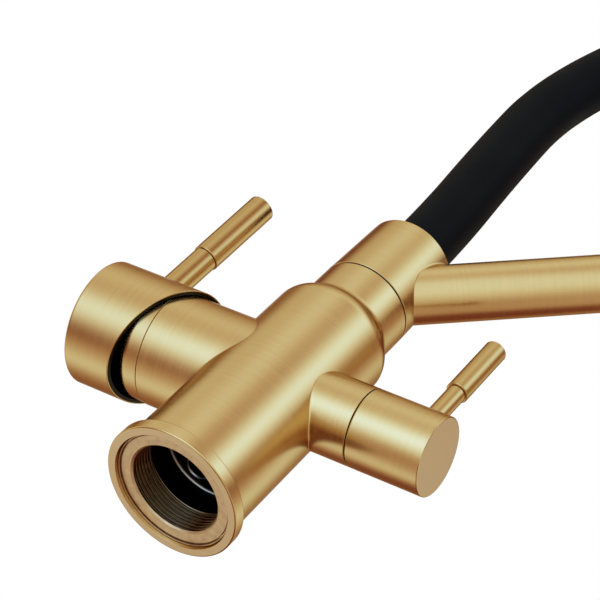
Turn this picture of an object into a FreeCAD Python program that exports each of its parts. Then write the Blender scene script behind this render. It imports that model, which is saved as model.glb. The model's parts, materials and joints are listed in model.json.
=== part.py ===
"""Three way filtered water tap: mixer handle, filtered water handle, swivel spout and hose head.

The tap stands upright: +Z is up, the origin is the centre of the base ring's lower face, the
filtered water handle points along +X and the mixer handle along -X. All sizes are millimetres.
"""
import FreeCAD
import Part
import Sketcher

import math
import os
import re

os.makedirs("parts", exist_ok=True)
doc = FreeCAD.newDocument("FilteredTap")
V = FreeCAD.Vector

# ---------------------------------------------------------------------------------------------
# Driving dimensions, each of which can be changed by itself. A rise, drop, reach, inset or depth is
# measured from the piece that the size belongs to.
# ---------------------------------------------------------------------------------------------
SIZES = {
    # fits
    "fit_gap": 0.05,             # radial clearance of a shaft or a plug in its hole
    "skin_gap": 0.3,             # clearance between curved moving covers
    "face_gap": 0.1,             # clearance between flat faces that turn on each other
    # base ring and threaded foot of the body
    "flange_overhang": 2.5,
    "flange_height": 4.9,
    "flange_edge": 0.6,
    "recess_gap": 1.1,
    "recess_height": 3.2,
    "washer_thickness": 2.0,
    "washer_gap": 0.25,          # on either side of the washer, which sits loose in the recess
    "foot_inset": 1.7,
    "foot_recess": 1.8,
    "thread_radius": 16.5,
    "thread_top": 22.0,
    "thread_chamfer": 0.6,
    # body casting
    "body_flare": 0.15,
    "body_radius": 22.5,
    "shoulder_drop": 25.6,       # of the shoulder's start under the neck's top
    "nose_radius": 12.0,
    "crease_radius": 5.0,
    "neck_radius": 17.8,
    "neck_rise": 56.1,           # of the neck's top over the handles' axis
    "handle_height": 60.5,
    "joint_fillet": 0.8,
    # water ways in the body
    "inlet_radius": 4.5,
    "inlet_depth": 12.0,
    "inlet_back": 5.0,
    "inlet_spread": 8.0,
    "filter_inlet_offset": 9.0,
    "way_radius": 3.2,
    "mixed_way_radius": 4.2,
    "mixed_way_rise": 8.0,
    "filter_way_radius": 1.8,
    "filter_way_offset": 7.3,
    "filter_port_shift": 4.5,
    # mixer side, measured outwards from the body's axis
    "mixer_barrel_radius": 20.6,
    "mixer_barrel_end": 43.0,
    "mixer_seat_depth": 28.0,
    "cartridge_play": 1.3,
    "cartridge_wall": 3.0,
    "nut_bore_wall": 1.8,
    "cartridge_base": 4.5,
    "cartridge_cavity_radius": 14.0,
    "cartridge_neck_radius": 13.0,
    "cartridge_neck_height": 7.5,
    "mixer_disc_thickness": 3.0,
    "mixer_disc_radius": 12.0,
    "mixer_disc_bore": 1.5,
    "port_seal_radius": 4.3,
    "port_seal_height": 0.6,
    "rotor_radius": 10.0,
    "rotor_flange": 1.9,
    "rotor_reach": 12.5,
    "rotor_slot_depth": 12.5,
    "pivot_reach": 5.0,
    "pivot_pin_radius": 1.5,
    "stem_width": 8.0,
    "stem_foot": 7.0,
    "stem_reach": 18.0,
    "nut_inset": 6.1,
    "dome_inset": 0.3,
    "dome_wall": 1.4,
    "dome_edge": 2.5,
    "dome_roll": 6.0,
    "dome_mouth": 12.0,
    "mixer_cap_overhang": 2.0,
    "mixer_cap_reach": 29.0,
    "mixer_cap_roof": 3.0,
    "mixer_cap_edge": 1.0,
    "rim_near_lap": 7.6,
    "rim_far_gap": 10.8,
    "cap_boss_radius": 8.0,
    "cap_boss_gap": 13.0,
    "mixer_turn": 6.73,          # resting turn of the lever about the handle axis, degrees
    "mixer_lean": 4.43,          # resting lean of the lever towards the body, degrees
    "mixer_lever_inset": 9.5,
    "mixer_rod_radius": 4.8,
    "mixer_rod_foot": 14.0,
    "mixer_stud_radius": 3.0,
    "mixer_grip_radius": 5.2,
    "mixer_grip_start": 45.0,
    "mixer_grip_length": 33.4,
    "mixer_spigot_radius": 3.5,
    "mixer_spigot_length": 21.0,
    "grip_edge": 0.4,
    # filtered water side, measured outwards from the body's axis
    "filter_barrel_radius": 14.0,
    "filter_barrel_end": 35.6,
    "filter_seat_depth": 23.1,
    "filter_seat_radius": 9.0,
    "filter_seal_height": 2.0,
    "valve_step_depth": 5.6,
    "valve_collar_wall": 3.0,
    "valve_collar_inset": 1.6,
    "valve_neck_radius": 7.0,
    "valve_neck_reach": 6.4,
    "valve_base": 4.5,
    "valve_roof": 3.0,
    "filter_disc_radius": 6.5,
    "filter_disc_thickness": 2.5,
    "spindle_radius": 4.0,
    "spindle_flange": 3.0,
    "spindle_grip": 9.0,
    "filter_cap_gap": 0.3,
    "filter_cap_length": 27.4,
    "filter_cap_edge": 0.5,
    "filter_cap_wall": 2.2,
    "filter_cap_hollow": 9.1,
    "filter_lever_inset": 11.2,
    "filter_rod_radius": 3.41,
    "filter_rod_foot": 9.0,
    "filter_stud_radius": 2.0,
    "filter_grip_radius": 4.1,
    "filter_grip_start": 31.8,
    "filter_grip_length": 27.2,
    "filter_spigot_radius": 2.5,
    "filter_spigot_length": 18.2,
    # swivel
    "spigot_radius": 11.0,
    "spigot_depth": 19.6,
    "spigot_rise": 21.4,
    "spigot_bore": 5.0,
    "ring_section": 0.9,         # section radius of the spigot's rubber rings
    "ring_low_rise": 3.2,
    "ring_middle_rise": 11.0,
    "ring_high_rise": 17.8,
    "lock_groove_rise": 7.4,
    "lock_groove_width": 3.4,
    "lock_groove_depth": 1.4,
    "lock_screw_radius": 1.5,
    "feed_rise": 14.4,
    "feed_groove_width": 2.4,
    "feed_groove_depth": 1.2,
    "feed_hole_radius": 1.3,
    "glide_thickness": 0.6,
    "glide_inset": 0.4,
    # collar
    "collar_taper": 0.6,
    "collar_rise": 32.6,
    "collar_edge": 0.5,
    "socket_depth": 7.2,
    "web_bore": 8.9,
    # arm
    "arm_radius": 10.5,
    "arm_wall": 1.5,
    "arm_rise": 5.4,
    "arm_slope": 38.5,           # rise of the arm above level, degrees
    "arm_root": 12.0,
    "arm_reach": 185.0,
    "bend_radius": 28.0,
    "arm_leg": 17.1,
    "feed_tube_radius": 4.0,
    "feed_tube_wall": 1.4,
    "feed_tube_root": 19.0,
    "outlet_insert_foot": 4.0,
    "outlet_insert_height": 10.0,
    "outlet_bore": 6.5,
    "outlet_flange_inset": 0.1,
    "outlet_flange_height": 3.0,
    "screen_thickness": 1.2,
    "screen_inset": 0.8,
    # dock for the spray head
    "dock_offset": 35.5,
    "dock_rise": 3.5,
    "dock_height": 12.0,
    "dock_clamp_wall": 2.7,
    "dock_ring_wall": 3.0,
    "dock_liner_wall": 1.5,
    "dock_liner_lip": 0.8,
    "dock_gap": 21.6,
    "dock_bridge_width": 14.0,
    # hose
    "hose_radius": 11.4,
    "hose_bore": 8.9,
    "inner_hose_radius": 8.2,
    "inner_hose_bore": 5.6,
    "nipple_flange": 2.5,
    "nipple_radius": 5.5,
    "nipple_bore": 4.0,
    "nipple_barb": 13.0,
    "hose_end_rise": 18.5,
    "hose_rise": 186.5,          # from the dock up to the crown of the hose's route
    "ferrule_wall": 1.5,
    "ferrule_plate": 4.0,
    "ferrule_grip": 18.0,
    # spray head
    "stalk_radius": 6.0,
    "stalk_bore": 3.5,
    "stalk_length": 25.0,
    "stalk_collar_radius": 7.5,
    "stalk_collar_height": 2.0,
    "nut_seam": 0.5,
    "nut_lip": 4.5,
    "nut_height": 10.0,
    "nut_skirt": 5.0,
    "head_neck_radius": 12.2,
    "head_neck_wall": 2.0,
    "head_radius": 15.5,
    "head_wall": 2.1,
    "head_drop": 47.1,
    "head_shoulder_drop": 11.5,
    "head_shoulder_radius": 7.0,
    "face_thickness": 3.6,
    "face_recess": 0.5,
    "aerator_radius": 7.1,
    "aerator_bore": 5.6,
    "nozzle_radius": 0.9,
    "nozzle_height": 1.2,
    "nozzle_pitch_radius": 10.3,
    "nozzle_count": 16,
    "button_rise": 19.6,
    "button_height": 13.0,
    "button_width": 7.4,
    "button_depth": 4.3,
    "button_proud": 1.2,
    "button_slack": 0.3,
    "button_travel": 1.2,
}
# Sizes that follow from the driving ones.
DERIVED = {
    # body casting
    "body_foot_radius": "body_radius + body_flare",
    "foot_radius": "body_radius - foot_inset",
    "recess_radius": "foot_radius + recess_gap",
    "flange_radius": "body_radius + flange_overhang",
    "neck_top": "handle_height + neck_rise",
    "shoulder_start": "neck_top - shoulder_drop",
    "shoulder_turn": "acos(1 - (body_radius - neck_radius) / (nose_radius + crease_radius))",
    "nose_end_radius": "body_radius - nose_radius * (1 - cos(shoulder_turn))",
    "nose_end_height": "shoulder_start + nose_radius * sin(shoulder_turn)",
    "neck_start": "nose_end_height + crease_radius * sin(shoulder_turn)",
    # mixer side
    "mixer_seat_floor": "mixer_barrel_end - mixer_seat_depth",
    "cartridge_floor": "mixer_seat_floor + cartridge_base",
    "cartridge_roof": "cartridge_floor + 2 * mixer_disc_thickness + rotor_flange + face_gap",
    "cartridge_shoulder": "cartridge_roof + cartridge_wall",
    "cartridge_neck_end": "cartridge_shoulder + cartridge_neck_height",
    "rotor_end": "cartridge_neck_end + rotor_reach",
    "rotor_slot_floor": "rotor_end - rotor_slot_depth",
    "lift_pivot": "mixer_barrel_end + pivot_reach",
    "stem_start": "lift_pivot - stem_foot",
    "stem_end": "lift_pivot + stem_reach",
    "nut_end": "mixer_barrel_end - nut_inset",
    "nut_bore_radius": "mixer_barrel_radius - nut_bore_wall",
    "cartridge_radius": "nut_bore_radius - cartridge_play",
    "dome_radius": "mixer_barrel_radius - dome_inset",
    "dome_crown": "dome_edge + dome_roll",
    "mixer_cap_radius": "mixer_barrel_radius + mixer_cap_overhang",
    "mixer_cap_end": "mixer_barrel_end + mixer_cap_reach",
    "rim_near": "mixer_barrel_end - rim_near_lap",
    "rim_far": "mixer_barrel_end + rim_far_gap",
    "cap_boss_start": "mixer_barrel_end + cap_boss_gap",
    "mixer_lever_offset": "mixer_cap_end - mixer_lever_inset",
    "mixer_grip_end": "mixer_grip_start + mixer_grip_length",
    "mixer_spigot_end": "mixer_grip_start + mixer_spigot_length",
    # filtered water side
    "filter_seat_floor": "filter_barrel_end - filter_seat_depth",
    "valve_step": "filter_barrel_end - valve_step_depth",
    "valve_collar_radius": "filter_barrel_radius - valve_collar_wall",
    "valve_collar_end": "filter_barrel_end - valve_collar_inset",
    "valve_neck_end": "filter_barrel_end + valve_neck_reach",
    "valve_cavity_floor": "filter_seat_floor + valve_base",
    "valve_cavity_end": "valve_step - valve_roof",
    "filter_cap_bore": "filter_barrel_radius - filter_cap_wall",
    "filter_cap_start": "filter_barrel_end + filter_cap_gap",
    "filter_cap_end": "filter_cap_start + filter_cap_length",
    "filter_cap_floor": "filter_cap_start + filter_cap_hollow",
    "spindle_end": "filter_cap_floor + spindle_grip",
    "filter_lever_offset": "filter_cap_end - filter_lever_inset",
    "filter_grip_end": "filter_grip_start + filter_grip_length",
    "filter_spigot_end": "filter_grip_start + filter_spigot_length",
    # swivel and collar
    "spigot_foot": "neck_top - spigot_depth",
    "spigot_top": "neck_top + spigot_rise",
    "ring_low": "neck_top + ring_low_rise",
    "ring_middle": "neck_top + ring_middle_rise",
    "ring_high": "neck_top + ring_high_rise",
    "lock_groove_height": "neck_top + lock_groove_rise",
    "feed_height": "neck_top + feed_rise",
    "collar_foot": "neck_top + glide_thickness + face_gap",
    "collar_top_radius": "neck_radius - collar_taper",
    "collar_top": "neck_top + collar_rise",
    "socket_floor": "collar_top - socket_depth",
    # arm
    "arm_axis_height": "neck_top + arm_rise",
    "bend_tangent": "bend_radius * tan((90 + arm_slope) / 2)",
    "corner_height": "arm_axis_height + arm_reach * tan(arm_slope)",
    "bend_low": "corner_height - bend_tangent",
    "bend_near": "arm_reach - bend_tangent * cos(arm_slope)",
    "bend_high": "corner_height - bend_tangent * sin(arm_slope)",
    "arm_end": "bend_low - arm_leg",
    "outlet_flange_radius": "arm_radius - outlet_flange_inset",
    # dock
    "dock_reach": "arm_reach + dock_offset",
    "dock_base": "arm_end + dock_rise",
    "dock_clamp_radius": "arm_radius + dock_clamp_wall",
    "dock_ring_radius": "head_neck_radius + skin_gap + dock_liner_wall + dock_ring_wall",
    # hose
    "hose_end": "dock_base + dock_height + hose_end_rise",
    "hose_crown": "dock_base + hose_rise",
    "ferrule_top": "hose_end + ferrule_grip",
    # spray head
    "stalk_end": "hose_end - stalk_length",
    "head_neck_bore": "head_neck_radius - head_neck_wall",
    "head_bore": "head_radius - head_wall",
    "head_bottom": "dock_base - head_drop",
    "head_shoulder": "dock_base - head_shoulder_drop",
    "head_turn": "acos(1 - (head_radius - head_neck_radius) / (2 * head_shoulder_radius))",
    "head_shoulder_middle": "head_shoulder + head_shoulder_radius * sin(head_turn)",
    "head_shoulder_top": "head_shoulder + 2 * head_shoulder_radius * sin(head_turn)",
    "core_base": "head_bottom + face_recess + face_thickness",
    "button_base": "head_bottom + button_rise",
}

sizes = doc.addObject("Spreadsheet::Sheet", "Sizes")
cells = [(alias, str(amount)) for alias, amount in SIZES.items()]
cells += [(alias, "=" + formula) for alias, formula in DERIVED.items()]
for row, (alias, content) in enumerate(cells, 1):
    sizes.set(f"A{row}", alias)
    sizes.set(f"B{row}", content)
    sizes.setAlias(f"B{row}", alias)
doc.recompute()


# ---------------------------------------------------------------------------------------------
# Ways of making a piece
# ---------------------------------------------------------------------------------------------
def on_sheet(text):
    """Turn arithmetic on size names into an expression that reads the sheet."""
    return re.sub(r"\b([a-z][a-z_0-9]*)\b(?!\()", r"Sizes.\1", text)


def value(text):
    """The number that such arithmetic gives now."""
    result = sizes.evalExpression(on_sheet(text))
    return float(getattr(result, "Value", result))


class Holder:
    """Where a piece's own frame stands: a turn, and a base point written as arithmetic on sizes."""

    def __init__(self, turn, across="0", along="0", up="0"):
        self.turn = turn
        self.base = {"x": across, "y": along, "z": up}

    def hold(self, thing):
        point = V(*[value(text) for text in self.base.values()])
        thing.Placement = FreeCAD.Placement(point, self.turn)
        for letter, text in self.base.items():
            if re.search("[a-z]", text):
                thing.setExpression(f"Placement.Base.{letter}", on_sheet(text))
        return thing


X_AXIS, Y_AXIS, Z_AXIS = V(1, 0, 0), V(0, 1, 0), V(0, 0, 1)
NO_TURN = FreeCAD.Rotation()
OUT_LEFT = FreeCAD.Rotation(Y_AXIS, -90)       # own z outwards along -X, own x upwards
OUT_RIGHT = FreeCAD.Rotation(Y_AXIS, 90)       # own z outwards along +X, own x downwards
ALONG_ARM = FreeCAD.Rotation(Y_AXIS, 90 - value("arm_slope"))
TURNED_LEFT = FreeCAD.Rotation(X_AXIS, value("mixer_turn")) * OUT_LEFT
MIXER_LEVER_WAY = FreeCAD.Rotation(X_AXIS, value("mixer_turn")) * FreeCAD.Rotation(
    Y_AXIS, value("mixer_lean"))

UPRIGHT = Holder(NO_TURN)
MIXER = Holder(OUT_LEFT, up="handle_height")
MIXER_TURNED = Holder(TURNED_LEFT, up="handle_height")
MIXER_LEVER = Holder(MIXER_LEVER_WAY, across="-mixer_lever_offset", up="handle_height")
FILTER = Holder(OUT_RIGHT, up="handle_height")
FILTER_LEVER = Holder(NO_TURN, across="filter_lever_offset", up="handle_height")
ARM = Holder(ALONG_ARM, up="arm_axis_height")
OUTLET = Holder(NO_TURN, across="arm_reach")
HEAD = Holder(NO_TURN, across="dock_reach")

TOUCH = 0.01        # how near a point lies to a surface that it is on, millimetres
ARC_SHARE = 0.45    # share of a straight run of the hose that the bend at its end may take

pieces = {}


def keep(label, thing):
    """Name a finished piece. Its label is the name of its file."""
    thing.Label = label
    pieces[label] = thing
    return thing


def draw(sketch, outline, closed=True):
    """Draw corners (across, up) or (across, up, radius). The side that leaves a corner with a radius
    is an arc, which bulges to the left of its way, or to the right if the radius has a minus."""
    corners = [V(value(corner[0]), value(corner[1]), 0) for corner in outline]
    sides = []
    count = len(outline) if closed else len(outline) - 1
    for place in range(count):
        start, end = corners[place], corners[(place + 1) % len(corners)]
        if len(outline[place]) == 2:
            side = sketch.addGeometry(Part.LineSegment(start, end), False)
            sides.append((side, 1, 2))
            continue
        text = outline[place][2]
        left = not text.startswith("-")
        radius = value(text.lstrip("-"))
        half = (end - start).multiply(0.5)
        aside = V(-half.y, half.x, 0).normalize().multiply(1 if left else -1)
        sag = radius - math.sqrt(radius ** 2 - half.Length ** 2)
        middle = start + half + aside.multiply(sag)
        side = sketch.addGeometry(Part.Arc(start, middle, end), False)
        mark = sketch.addConstraint(Sketcher.Constraint("Radius", side, radius))
        sketch.setExpression(f"Constraints[{mark}]", on_sheet(text.lstrip("-")))
        sides.append((side, 2, 1) if left else (side, 1, 2))
    for place in range(count if closed else count - 1):
        here, after = sides[place], sides[(place + 1) % count]
        sketch.addConstraint(Sketcher.Constraint("Coincident", here[0], here[2], after[0], after[1]))
    ends = [(sides[place][0], sides[place][1]) for place in range(count)]
    if not closed:
        ends.append((sides[-1][0], sides[-1][2]))
    for (side, end), corner, spot in zip(ends, outline, corners):
        for kind, text, now in (("DistanceX", corner[0], spot.x), ("DistanceY", corner[1], spot.y)):
            mark = sketch.addConstraint(Sketcher.Constraint(kind, -1, 1, side, end, now))
            if re.search("[a-z]", text):
                sketch.setExpression(f"Constraints[{mark}]", on_sheet(text))


def new_body(name, holder):
    body = doc.addObject("PartDesign::Body", name)
    holder.hold(body)
    return body


def new_sketch(body, name, plane, outline, closed=True):
    """A sketch on one of the body's own origin planes."""
    sketch = body.newObject("Sketcher::SketchObject", name)
    support = [part for part in body.Origin.OriginFeatures if part.Role == plane]
    sketch.AttachmentSupport = [(support[0], "")]
    sketch.MapMode = "FlatFace"
    draw(sketch, outline, closed)
    return sketch


def turned(name, outline, holder=UPRIGHT):
    """A piece turned on a lathe: an outline of (radius, height) carried round the own z axis."""
    body = new_body(name, holder)
    sketch = new_sketch(body, name + "_outline", "XZ_Plane", outline)
    feature = body.newObject("PartDesign::Revolution", name + "_turning")
    feature.Profile = sketch
    feature.ReferenceAxis = (sketch, ["V_Axis"])
    feature.Angle = 360
    return body


def bar(name, radius, start, end, holder=UPRIGHT):
    """A round bar on the own z axis from one height to another."""
    return turned(name, [("0", start), (radius, start), (radius, end), ("0", end)], holder)


def ring(name, inner, outer, start, end, holder=UPRIGHT):
    """A plain ring or tube on the own z axis."""
    return turned(name, [(inner, start), (outer, start), (outer, end), (inner, end)], holder)


def slab(name, outline, width, holder=UPRIGHT):
    """A plate whose outline lies in the own xz plane, half its width to each side."""
    body = new_body(name, holder)
    sketch = new_sketch(body, name + "_outline", "XZ_Plane", outline)
    feature = body.newObject("PartDesign::Pad", name + "_pad")
    feature.Profile = sketch
    feature.setExpression("Length", on_sheet(width))
    feature.Midplane = True
    return body


def block(name, low_x, high_x, width, low_z, high_z, holder=UPRIGHT):
    """A block centred on y = 0."""
    outline = [(low_x, low_z), (high_x, low_z), (high_x, high_z), (low_x, high_z)]
    return slab(name, outline, width, holder)


def fused(name, *parts):
    joined = doc.addObject("Part::MultiFuse", name)
    joined.Shapes = list(parts)
    return joined


def cut(name, base, *tools):
    """The base less every tool."""
    result = doc.addObject("Part::Cut", name)
    result.Base = base
    result.Tool = tools[0] if len(tools) == 1 else fused(name + "_tools", *tools)
    return result


def grouped(name, parts):
    """Separate like solids that share one node."""
    group = doc.addObject("Part::Compound", name)
    group.Links = parts
    return group


def bent_tube(name, path, outer, inner):
    """A tube along a path in the xz plane that starts straight up from its lower end."""
    body = doc.addObject("PartDesign::Body", name)
    spine = new_sketch(body, name + "_path", "XZ_Plane", path, closed=False)
    for kind, radius in (("AdditivePipe", outer), ("SubtractivePipe", inner)):
        end = body.newObject("Sketcher::SketchObject", f"{name}_{kind}_end")
        support = [part for part in body.Origin.OriginFeatures if part.Role == "XY_Plane"]
        end.AttachmentSupport = [(support[0], "")]
        end.MapMode = "FlatFace"
        end.setExpression(".AttachmentOffset.Base.x", on_sheet(path[0][0]))
        end.setExpression(".AttachmentOffset.Base.z", on_sheet(path[0][1]))
        round_edge = end.addGeometry(Part.Circle(V(), Z_AXIS, value(radius)), False)
        end.addConstraint(Sketcher.Constraint("Coincident", round_edge, 3, -1, 1))
        mark = end.addConstraint(Sketcher.Constraint("Radius", round_edge, value(radius)))
        end.setExpression(f"Constraints[{mark}]", on_sheet(radius))
        sweep = body.newObject("PartDesign::" + kind, f"{name}_{kind}")
        sweep.Profile = end
        sweep.Spine = spine
    return body


# ---------------------------------------------------------------------------------------------
# Base ring, washer and body casting
# ---------------------------------------------------------------------------------------------
def make_base():
    keep("base_ring", turned("base_ring", [
        ("recess_radius", "0"),
        ("flange_radius - flange_edge", "0"),
        ("flange_radius", "flange_edge"),
        ("flange_radius", "flange_height - flange_edge"),
        ("flange_radius - flange_edge", "flange_height"),
        ("foot_radius + fit_gap", "flange_height"),
        ("foot_radius + fit_gap", "recess_height"),
        ("recess_radius", "recess_height")]))
    keep("base_washer", ring("base_washer", "foot_radius + washer_gap", "recess_radius - washer_gap",
                             "recess_height - washer_thickness", "recess_height"))


def make_body_blank():
    """The casting before it is bored: foot, tapered column, shoulder, neck and both side barrels."""
    column = turned("column", [
        ("0", "foot_recess"),
        ("foot_radius", "foot_recess"),
        ("foot_radius", "flange_height"),
        ("body_foot_radius", "flange_height"),
        ("body_radius", "shoulder_start", "-nose_radius"),
        ("nose_end_radius", "nose_end_height", "crease_radius"),
        ("neck_radius", "neck_start"),
        ("neck_radius", "neck_top"),
        ("0", "neck_top")])
    mixer_barrel = bar("mixer_barrel", "mixer_barrel_radius", "0", "mixer_barrel_end", MIXER)
    filter_barrel = bar("filter_barrel", "filter_barrel_radius", "0", "filter_barrel_end", FILTER)
    return fused("casting", column, mixer_barrel, filter_barrel)


def joint_edges(casting):
    """The edges where a side barrel leaves the column."""
    found = []
    for number, edge in enumerate(casting.Shape.Edges, 1):
        spots = edge.discretize(5)
        for barrel in ("mixer_barrel_radius", "filter_barrel_radius"):
            on_barrel = [abs(math.hypot(spot.y, spot.z - value("handle_height")) - value(barrel)) < TOUCH
                         for spot in spots]
            on_column = [value("body_radius") - TOUCH < math.hypot(spot.x, spot.y)
                         < value("body_foot_radius") + TOUCH for spot in spots]
            if all(on_barrel) and all(on_column):
                found.append((number, value("joint_fillet"), value("joint_fillet")))
    return found


def body_tools():
    """Everything that is bored out of the casting."""
    tools = [turned("foot_bore", [
        ("0", "foot_recess"),
        ("thread_radius + thread_chamfer", "foot_recess"),
        ("thread_radius", "foot_recess + thread_chamfer"),
        ("thread_radius", "thread_top"),
        ("0", "thread_top")])]
    for side, name in ((1, "hot"), (-1, "cold")):
        spread = "inlet_spread" if side > 0 else "-inlet_spread"
        inlet = Holder(NO_TURN, across="-inlet_back", along=spread)
        crossing = Holder(OUT_LEFT, along=spread, up="handle_height")
        tools.append(bar(name + "_inlet_bore", "inlet_radius", "thread_top",
                         "thread_top + inlet_depth", inlet))
        tools.append(bar(name + "_riser", "way_radius", "thread_top", "handle_height", inlet))
        tools.append(bar(name + "_crossing", "way_radius", "inlet_back", "mixer_seat_floor", crossing))
    tools.append(bar("mixed_crossing", "way_radius", "0", "mixer_seat_floor",
                     Holder(OUT_LEFT, up="handle_height + mixed_way_rise")))
    tools.append(bar("mixed_riser", "mixed_way_radius", "handle_height + mixed_way_rise", "spigot_foot"))
    filter_inlet = Holder(NO_TURN, across="filter_inlet_offset")
    tools.append(bar("filter_inlet_bore", "inlet_radius", "thread_top", "thread_top + inlet_depth",
                     filter_inlet))
    tools.append(bar("filter_inlet_riser", "filter_way_radius", "thread_top",
                     "handle_height - filter_port_shift", filter_inlet))
    tools.append(bar("filter_inlet_crossing", "filter_way_radius", "filter_inlet_offset",
                     "filter_seat_floor", Holder(OUT_RIGHT, up="handle_height - filter_port_shift")))
    tools.append(bar("filter_outlet_crossing", "filter_way_radius", "filter_way_offset",
                     "filter_seat_floor", Holder(OUT_RIGHT, up="handle_height + filter_port_shift")))
    tools.append(bar("filter_outlet_riser", "filter_way_radius", "handle_height + filter_port_shift",
                     "spigot_foot", Holder(NO_TURN, across="filter_way_offset")))
    tools.append(bar("spigot_seat", "spigot_radius + fit_gap", "spigot_foot", "neck_top"))
    tools.append(turned("mixer_seat", [
        ("0", "mixer_seat_floor"),
        ("cartridge_radius + fit_gap", "mixer_seat_floor"),
        ("cartridge_radius + fit_gap", "cartridge_shoulder"),
        ("nut_bore_radius", "cartridge_shoulder"),
        ("nut_bore_radius", "mixer_barrel_end"),
        ("0", "mixer_barrel_end")], MIXER))
    tools.append(turned("filter_seat", [
        ("0", "filter_seat_floor"),
        ("filter_seat_radius", "filter_seat_floor"),
        ("filter_seat_radius", "valve_step"),
        ("valve_collar_radius", "valve_step"),
        ("valve_collar_radius", "filter_barrel_end"),
        ("0", "filter_barrel_end")], FILTER))
    return tools


def make_body():
    casting = make_body_blank()
    doc.recompute()
    rounded = doc.addObject("Part::Fillet", "rounded_casting")
    rounded.Base = casting
    rounded.Edges = joint_edges(casting)
    keep("tap_body", cut("tap_body", rounded, *body_tools()))


# ---------------------------------------------------------------------------------------------
# Mixer cartridge, cover and handle
# ---------------------------------------------------------------------------------------------
def make_mixer_cartridge():
    seals = []
    for name, up, along in (("hot_seal", "handle_height", "inlet_spread"),
                            ("cold_seal", "handle_height", "-inlet_spread"),
                            ("mixed_seal", "handle_height + mixed_way_rise", "0")):
        seals.append(ring(name, "way_radius", "port_seal_radius", "mixer_seat_floor",
                          "mixer_seat_floor + port_seal_height", Holder(OUT_LEFT, along=along, up=up)))
    keep("mixer_port_seals", grouped("mixer_port_seals", seals))
    shell = turned("cartridge_shell", [
        ("0", "mixer_seat_floor + port_seal_height"),
        ("cartridge_radius", "mixer_seat_floor + port_seal_height"),
        ("cartridge_radius", "cartridge_shoulder"),
        ("cartridge_neck_radius", "cartridge_shoulder"),
        ("cartridge_neck_radius", "cartridge_neck_end"),
        ("rotor_radius + fit_gap", "cartridge_neck_end"),
        ("rotor_radius + fit_gap", "cartridge_roof"),
        ("cartridge_cavity_radius", "cartridge_roof"),
        ("cartridge_cavity_radius", "cartridge_floor"),
        ("0", "cartridge_floor")], MIXER)
    ports = []
    for name, up, along in (("hot_port", "handle_height", "inlet_spread"),
                            ("cold_port", "handle_height", "-inlet_spread"),
                            ("mixed_port", "handle_height + mixed_way_rise", "0")):
        ports.append(bar(name, "way_radius", "mixer_seat_floor", "cartridge_floor",
                         Holder(OUT_LEFT, along=along, up=up)))
    keep("cartridge_housing", cut("cartridge_housing", shell, *ports))
    disc = ring("fixed_disc_blank", "mixer_disc_bore", "cartridge_cavity_radius - fit_gap",
                "cartridge_floor", "cartridge_floor + mixer_disc_thickness", MIXER)
    openings = []
    for name, up, along in (("hot_window", "handle_height", "inlet_spread"),
                            ("cold_window", "handle_height", "-inlet_spread"),
                            ("mixed_window", "handle_height + mixed_way_rise", "0")):
        openings.append(bar(name, "way_radius", "cartridge_floor",
                            "cartridge_floor + mixer_disc_thickness", Holder(OUT_LEFT, along=along, up=up)))
    keep("cartridge_fixed_disc", cut("cartridge_fixed_disc", disc, *openings))
    keep("cartridge_nut", ring("cartridge_nut", "cartridge_neck_radius + fit_gap",
                               "nut_bore_radius - fit_gap", "cartridge_shoulder", "nut_end", MIXER))
    keep("cartridge_dome", turned("cartridge_dome", [
        ("cartridge_neck_radius + skin_gap", "nut_end"),
        ("nut_bore_radius - fit_gap", "nut_end"),
        ("nut_bore_radius - fit_gap", "mixer_barrel_end"),
        ("dome_radius", "mixer_barrel_end"),
        ("dome_radius", "mixer_barrel_end + dome_edge", "-dome_roll"),
        ("dome_radius - dome_roll", "mixer_barrel_end + dome_crown"),
        ("dome_mouth", "mixer_barrel_end + dome_crown"),
        ("dome_mouth", "mixer_barrel_end + dome_crown - dome_wall"),
        ("dome_radius - dome_roll", "mixer_barrel_end + dome_crown - dome_wall"),
        ("nut_bore_radius - dome_wall", "mixer_barrel_end + dome_edge"),
        ("nut_bore_radius - dome_wall", "mixer_barrel_end"),
        ("cartridge_neck_radius + skin_gap + dome_wall", "mixer_barrel_end"),
        ("cartridge_neck_radius + skin_gap", "mixer_barrel_end - dome_wall")], MIXER))


def make_mixer_rotor():
    keep("cartridge_moving_disc", ring(
        "cartridge_moving_disc", "mixer_disc_bore", "mixer_disc_radius",
        "cartridge_floor + mixer_disc_thickness + face_gap",
        "cartridge_floor + 2 * mixer_disc_thickness - face_gap", MIXER_TURNED))
    blank = turned("rotor_blank", [
        ("0", "cartridge_roof - face_gap - rotor_flange"),
        ("mixer_disc_radius", "cartridge_roof - face_gap - rotor_flange"),
        ("mixer_disc_radius", "cartridge_roof - face_gap"),
        ("rotor_radius", "cartridge_roof - face_gap"),
        ("rotor_radius", "rotor_end"),
        ("0", "rotor_end")], MIXER_TURNED)
    slot = block("rotor_slot", "-rotor_radius", "rotor_radius", "stem_width + 2 * skin_gap",
                 "rotor_slot_floor", "rotor_end", MIXER_TURNED)
    pin_way = FreeCAD.Rotation(X_AXIS, value("mixer_turn") - 90)
    crossing = Holder(pin_way, across="-lift_pivot", up="handle_height")
    half_pin = "rotor_radius - face_gap"
    hole = bar("rotor_pin_hole", "pivot_pin_radius", "-rotor_radius", "rotor_radius", crossing)
    keep("cartridge_rotor", cut("cartridge_rotor", blank, slot, hole))
    keep("pivot_pin", bar("pivot_pin", "pivot_pin_radius", "-(" + half_pin + ")", half_pin, crossing))
    stem = block("stem_blank", "-stem_width / 2", "stem_width / 2", "stem_width",
                 "stem_start", "stem_end", MIXER_TURNED)
    stem_hole = bar("stem_pin_hole", "pivot_pin_radius + fit_gap", "-stem_width", "stem_width", crossing)
    keep("mixer_stem", cut("mixer_stem", stem, stem_hole))


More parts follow.
